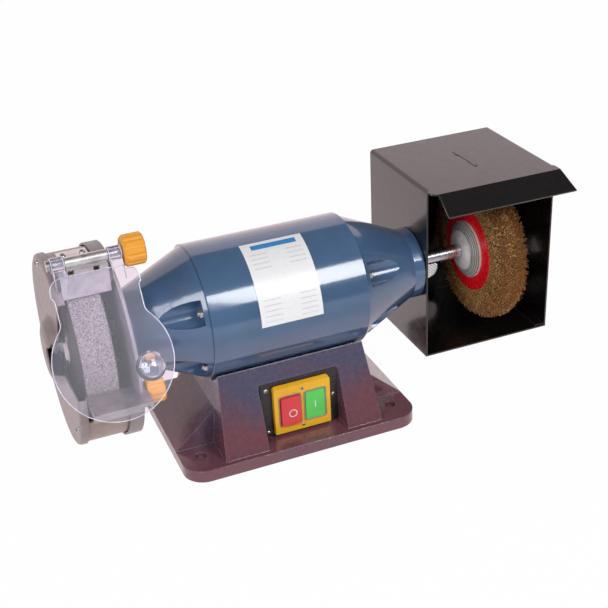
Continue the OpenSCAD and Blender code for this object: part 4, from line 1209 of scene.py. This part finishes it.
class GRINDER_OT_wire_brush(bpy.types.Operator):
    """Grows the wire brush and finishes its discs and cups"""

    bl_idname = "grinder.wire_brush"
    bl_label = "Wire brush"

    def execute(self, context):
        p = context.scene.grinder_paint
        b = context.scene.grinder_brush
        dress(moulded_plastic("disc_red", p.disc_red, 0.25), "brush_discs")
        low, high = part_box("brush_wires")
        centre = (low + high) / 2
        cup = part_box("brush_flanges")
        reach = (cup[1].z - cup[0].z) / 2
        dress(ridged_casting("cup_casting", p.cup_grey, centre, reach), "brush_flanges")

        half = (high.x - low.x) / 2
        outer = (high.z - low.z) / 2
        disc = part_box("brush_discs")
        inner = (disc[1].z - disc[0].z) / 2
        flat = (disc[1].x - disc[0].x) / 2 - 0.0015
        tree = brush_tree()
        brass = brass_wire("brass_wire", b.gold, b.dark)
        pieces = [
            grown(name, tree, {
                "Wires": count,
                "Points": points,
                "Inner Radius": start,
                "Outer Radius": outer - 0.0004,
                "Half Width": half,
                "Wire Radius": b.wire,
                "Crimp": b.crimp,
                "Fan": b.fan,
                "Centre": centre,
                "Seed": seed,
                "Material": brass,
            })
            for name, count, points, start, seed in (
                ("crimped_wires", b.wires, 7, inner - 0.004, b.seed),
                ("wire_tips", b.tips, 4, outer - 0.020, b.seed + 40),
            )
        ]

        # the core's side as radii, shares of the rise from the discs, and half widths
        rise = outer - b.core - inner
        side = [(0.018, flat), (inner, flat)]
        side += [(inner + rise * up, x) for up, x in (
            (0.25, half - 0.0065), (0.5, half - 0.0060), (0.72, half * 0.66),
            (0.87, half * 0.50), (0.96, half * 0.30), (1, half * 0.12),
        )]
        around = [(radius, -x) for radius, x in side] + side[::-1]
        packed = packed_core("brush_core", b.gold, b.dark)
        pieces.append(revolved("brush_core", around + [around[0]], centre, packed))
        for piece in pieces:
            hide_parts("brush_wires")
            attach(piece, "rotor")
        return {"FINISHED"}


class GRINDER_OT_port_screen(bpy.types.Operator):
    """Covers the dust port with a wire screen"""

    bl_idname = "grinder.port_screen"
    bl_label = "Port screen"

    def execute(self, context):
        b = context.scene.grinder_brush
        middle, radius = port_place()
        screen = grown("port_screen", screen_tree(), {
            "Radius": radius + 0.001,
            "Wires": b.screen_wires,
            "Wire": b.screen_wire,
            "Centre": middle,
            "Material": screen_wire("screen_wire"),
        })
        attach(screen, "frame")
        return {"FINISHED"}


class GRINDER_OT_switch(bpy.types.Operator):
    """Finishes the switch plate and its frame, with their pan head screws"""

    bl_idname = "grinder.switch"
    bl_label = "Switch"

    def execute(self, context):
        p = context.scene.grinder_paint
        dress(moulded_plastic("plate_black", (0.016, 0.015, 0.017), 0.3),
              "switch_plate", "switch_body")
        dress(moulded_plastic("frame_yellow", p.frame_yellow, 0.3), "switch_frame")
        metal = zinc_plate("switch_screw_zinc", p.zinc, 0.28)
        # Painted shade inside the cross recesses.
        recess = moulded_plastic("switch_recess_dark", (0.02, 0.018, 0.018), 0.5)
        front = Vector((0, -1, 0))
        largest_small = 0.006  # the plate's screws are wider than this, the frame's are not
        for name, wide in (("plate_screws", True), ("frame_screws", False)):
            seats = []
            for low, high in islands("switch_screws"):
                if (high.x - low.x > largest_small) != wide:
                    continue
                middle = (low + high) / 2
                seats.append((Vector((middle.x, high.y, middle.z)), front))
                radius, height = (high.x - low.x) / 2, high.y - low.y
            screws = pan_screws(name, seats, radius, height, metal, recess)
            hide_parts("switch_screws")
            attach(screws, "frame")
        return {"FINISHED"}


class GRINDER_OT_buttons(bpy.types.Operator):
    """Finishes the stop and start buttons, their soft rims and their marks"""

    bl_idname = "grinder.buttons"
    bl_label = "Buttons"

    def execute(self, context):
        p = context.scene.grinder_paint
        dress(moulded_plastic("stop_red", p.stop_red, 0.3), "stop_button")
        dress(moulded_plastic("start_green", p.start_green, 0.3), "start_button")
        mark = moulded_plastic("mark_white", (0.9, 0.9, 0.9), 0.35)
        boot = moulded_plastic("boot_clear", p.boot_grey, 0.22, 0.2)
        face_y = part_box("switch_frame")[0].y
        gap, bead, sunk = 0.0030, 0.0011, 0.0001
        for node, body in (("stop_button", "stop"), ("start_button", "start")):
            low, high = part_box(node)
            middle = (low + high) / 2
            rim = grown(body + "_boot", bead_tree(), {
                "Width": high.x - low.x + gap,
                "Height": high.z - low.z + gap,
                "Corner": gap,
                "Bead": bead,
                "Centre": Vector((middle.x, face_y - sunk, middle.z)),
                "Material": boot,
            })
            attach(rim, "frame")

            # a ring for stop and a bar for start
            if body == "stop":
                x, z = middle.x + 0.002, middle.z - 0.003
                turns = [math.tau * k / 40 for k in range(40)]
                outlines = [
                    [(x + radius * math.cos(turn), z + radius * math.sin(turn)) for turn in turns]
                    for radius in (0.0056, 0.0043)
                ]
            else:
                dx, dz = 0.0007, 0.0050
                corners = ((-dx, -dz), (dx, -dz), (dx, dz), (-dx, dz))
                outlines = [[(middle.x + x, middle.z + z) for x, z in corners]]
            sign = flat_plate(body + "_mark", outlines, low.y + sunk, 0.0003, mark)
            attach(sign, body)
        return {"FINISHED"}


class GRINDER_PT_panel(bpy.types.Panel):
    """Sidebar panel with the grinder's pieces and settings"""

    bl_idname = "GRINDER_PT_panel"
    bl_label = "Bench grinder"
    bl_space_type = "VIEW_3D"
    bl_region_type = "UI"
    bl_category = "Grinder"

    def draw(self, context):
        for operator in PIECES:
            self.layout.operator(operator.bl_idname)
        for group in SETTINGS:
            column = self.layout.column()
            held = getattr(context.scene, group)
            for name in held.__annotations__:
                column.prop(held, name)


PIECES = (
    GRINDER_OT_studio,
    GRINDER_OT_motor,
    GRINDER_OT_guard,
    GRINDER_OT_guard_screws,
    GRINDER_OT_eye_shield,
    GRINDER_OT_hood,
    GRINDER_OT_wire_brush,
    GRINDER_OT_port_screen,
    GRINDER_OT_switch,
    GRINDER_OT_buttons,
)
SETTINGS = {
    "grinder_paint": PaintSettings,
    "grinder_brush": BrushSettings,
    "grinder_studio": StudioSettings,
}
CLASSES = (*SETTINGS.values(), *PIECES, GRINDER_PT_panel)


def register():
    """Makes the settings, the operators and the panel known to Blender."""
    for item in CLASSES:
        bpy.utils.register_class(item)
    for name, group in SETTINGS.items():
        setattr(bpy.types.Scene, name, PointerProperty(type=group))


def unregister():
    """Takes them away again."""
    for name in SETTINGS:
        delattr(bpy.types.Scene, name)
    for item in reversed(CLASSES):
        bpy.utils.unregister_class(item)


def main():
    """Builds every piece in order."""
    register()
    bpy.ops.grinder.studio()
    bpy.ops.grinder.motor()
    bpy.ops.grinder.guard()
    bpy.ops.grinder.guard_screws()
    bpy.ops.grinder.eye_shield()
    bpy.ops.grinder.hood()
    bpy.ops.grinder.wire_brush()
    bpy.ops.grinder.port_screen()
    bpy.ops.grinder.switch()
    bpy.ops.grinder.buttons()


if __name__ == "__main__":
    main()
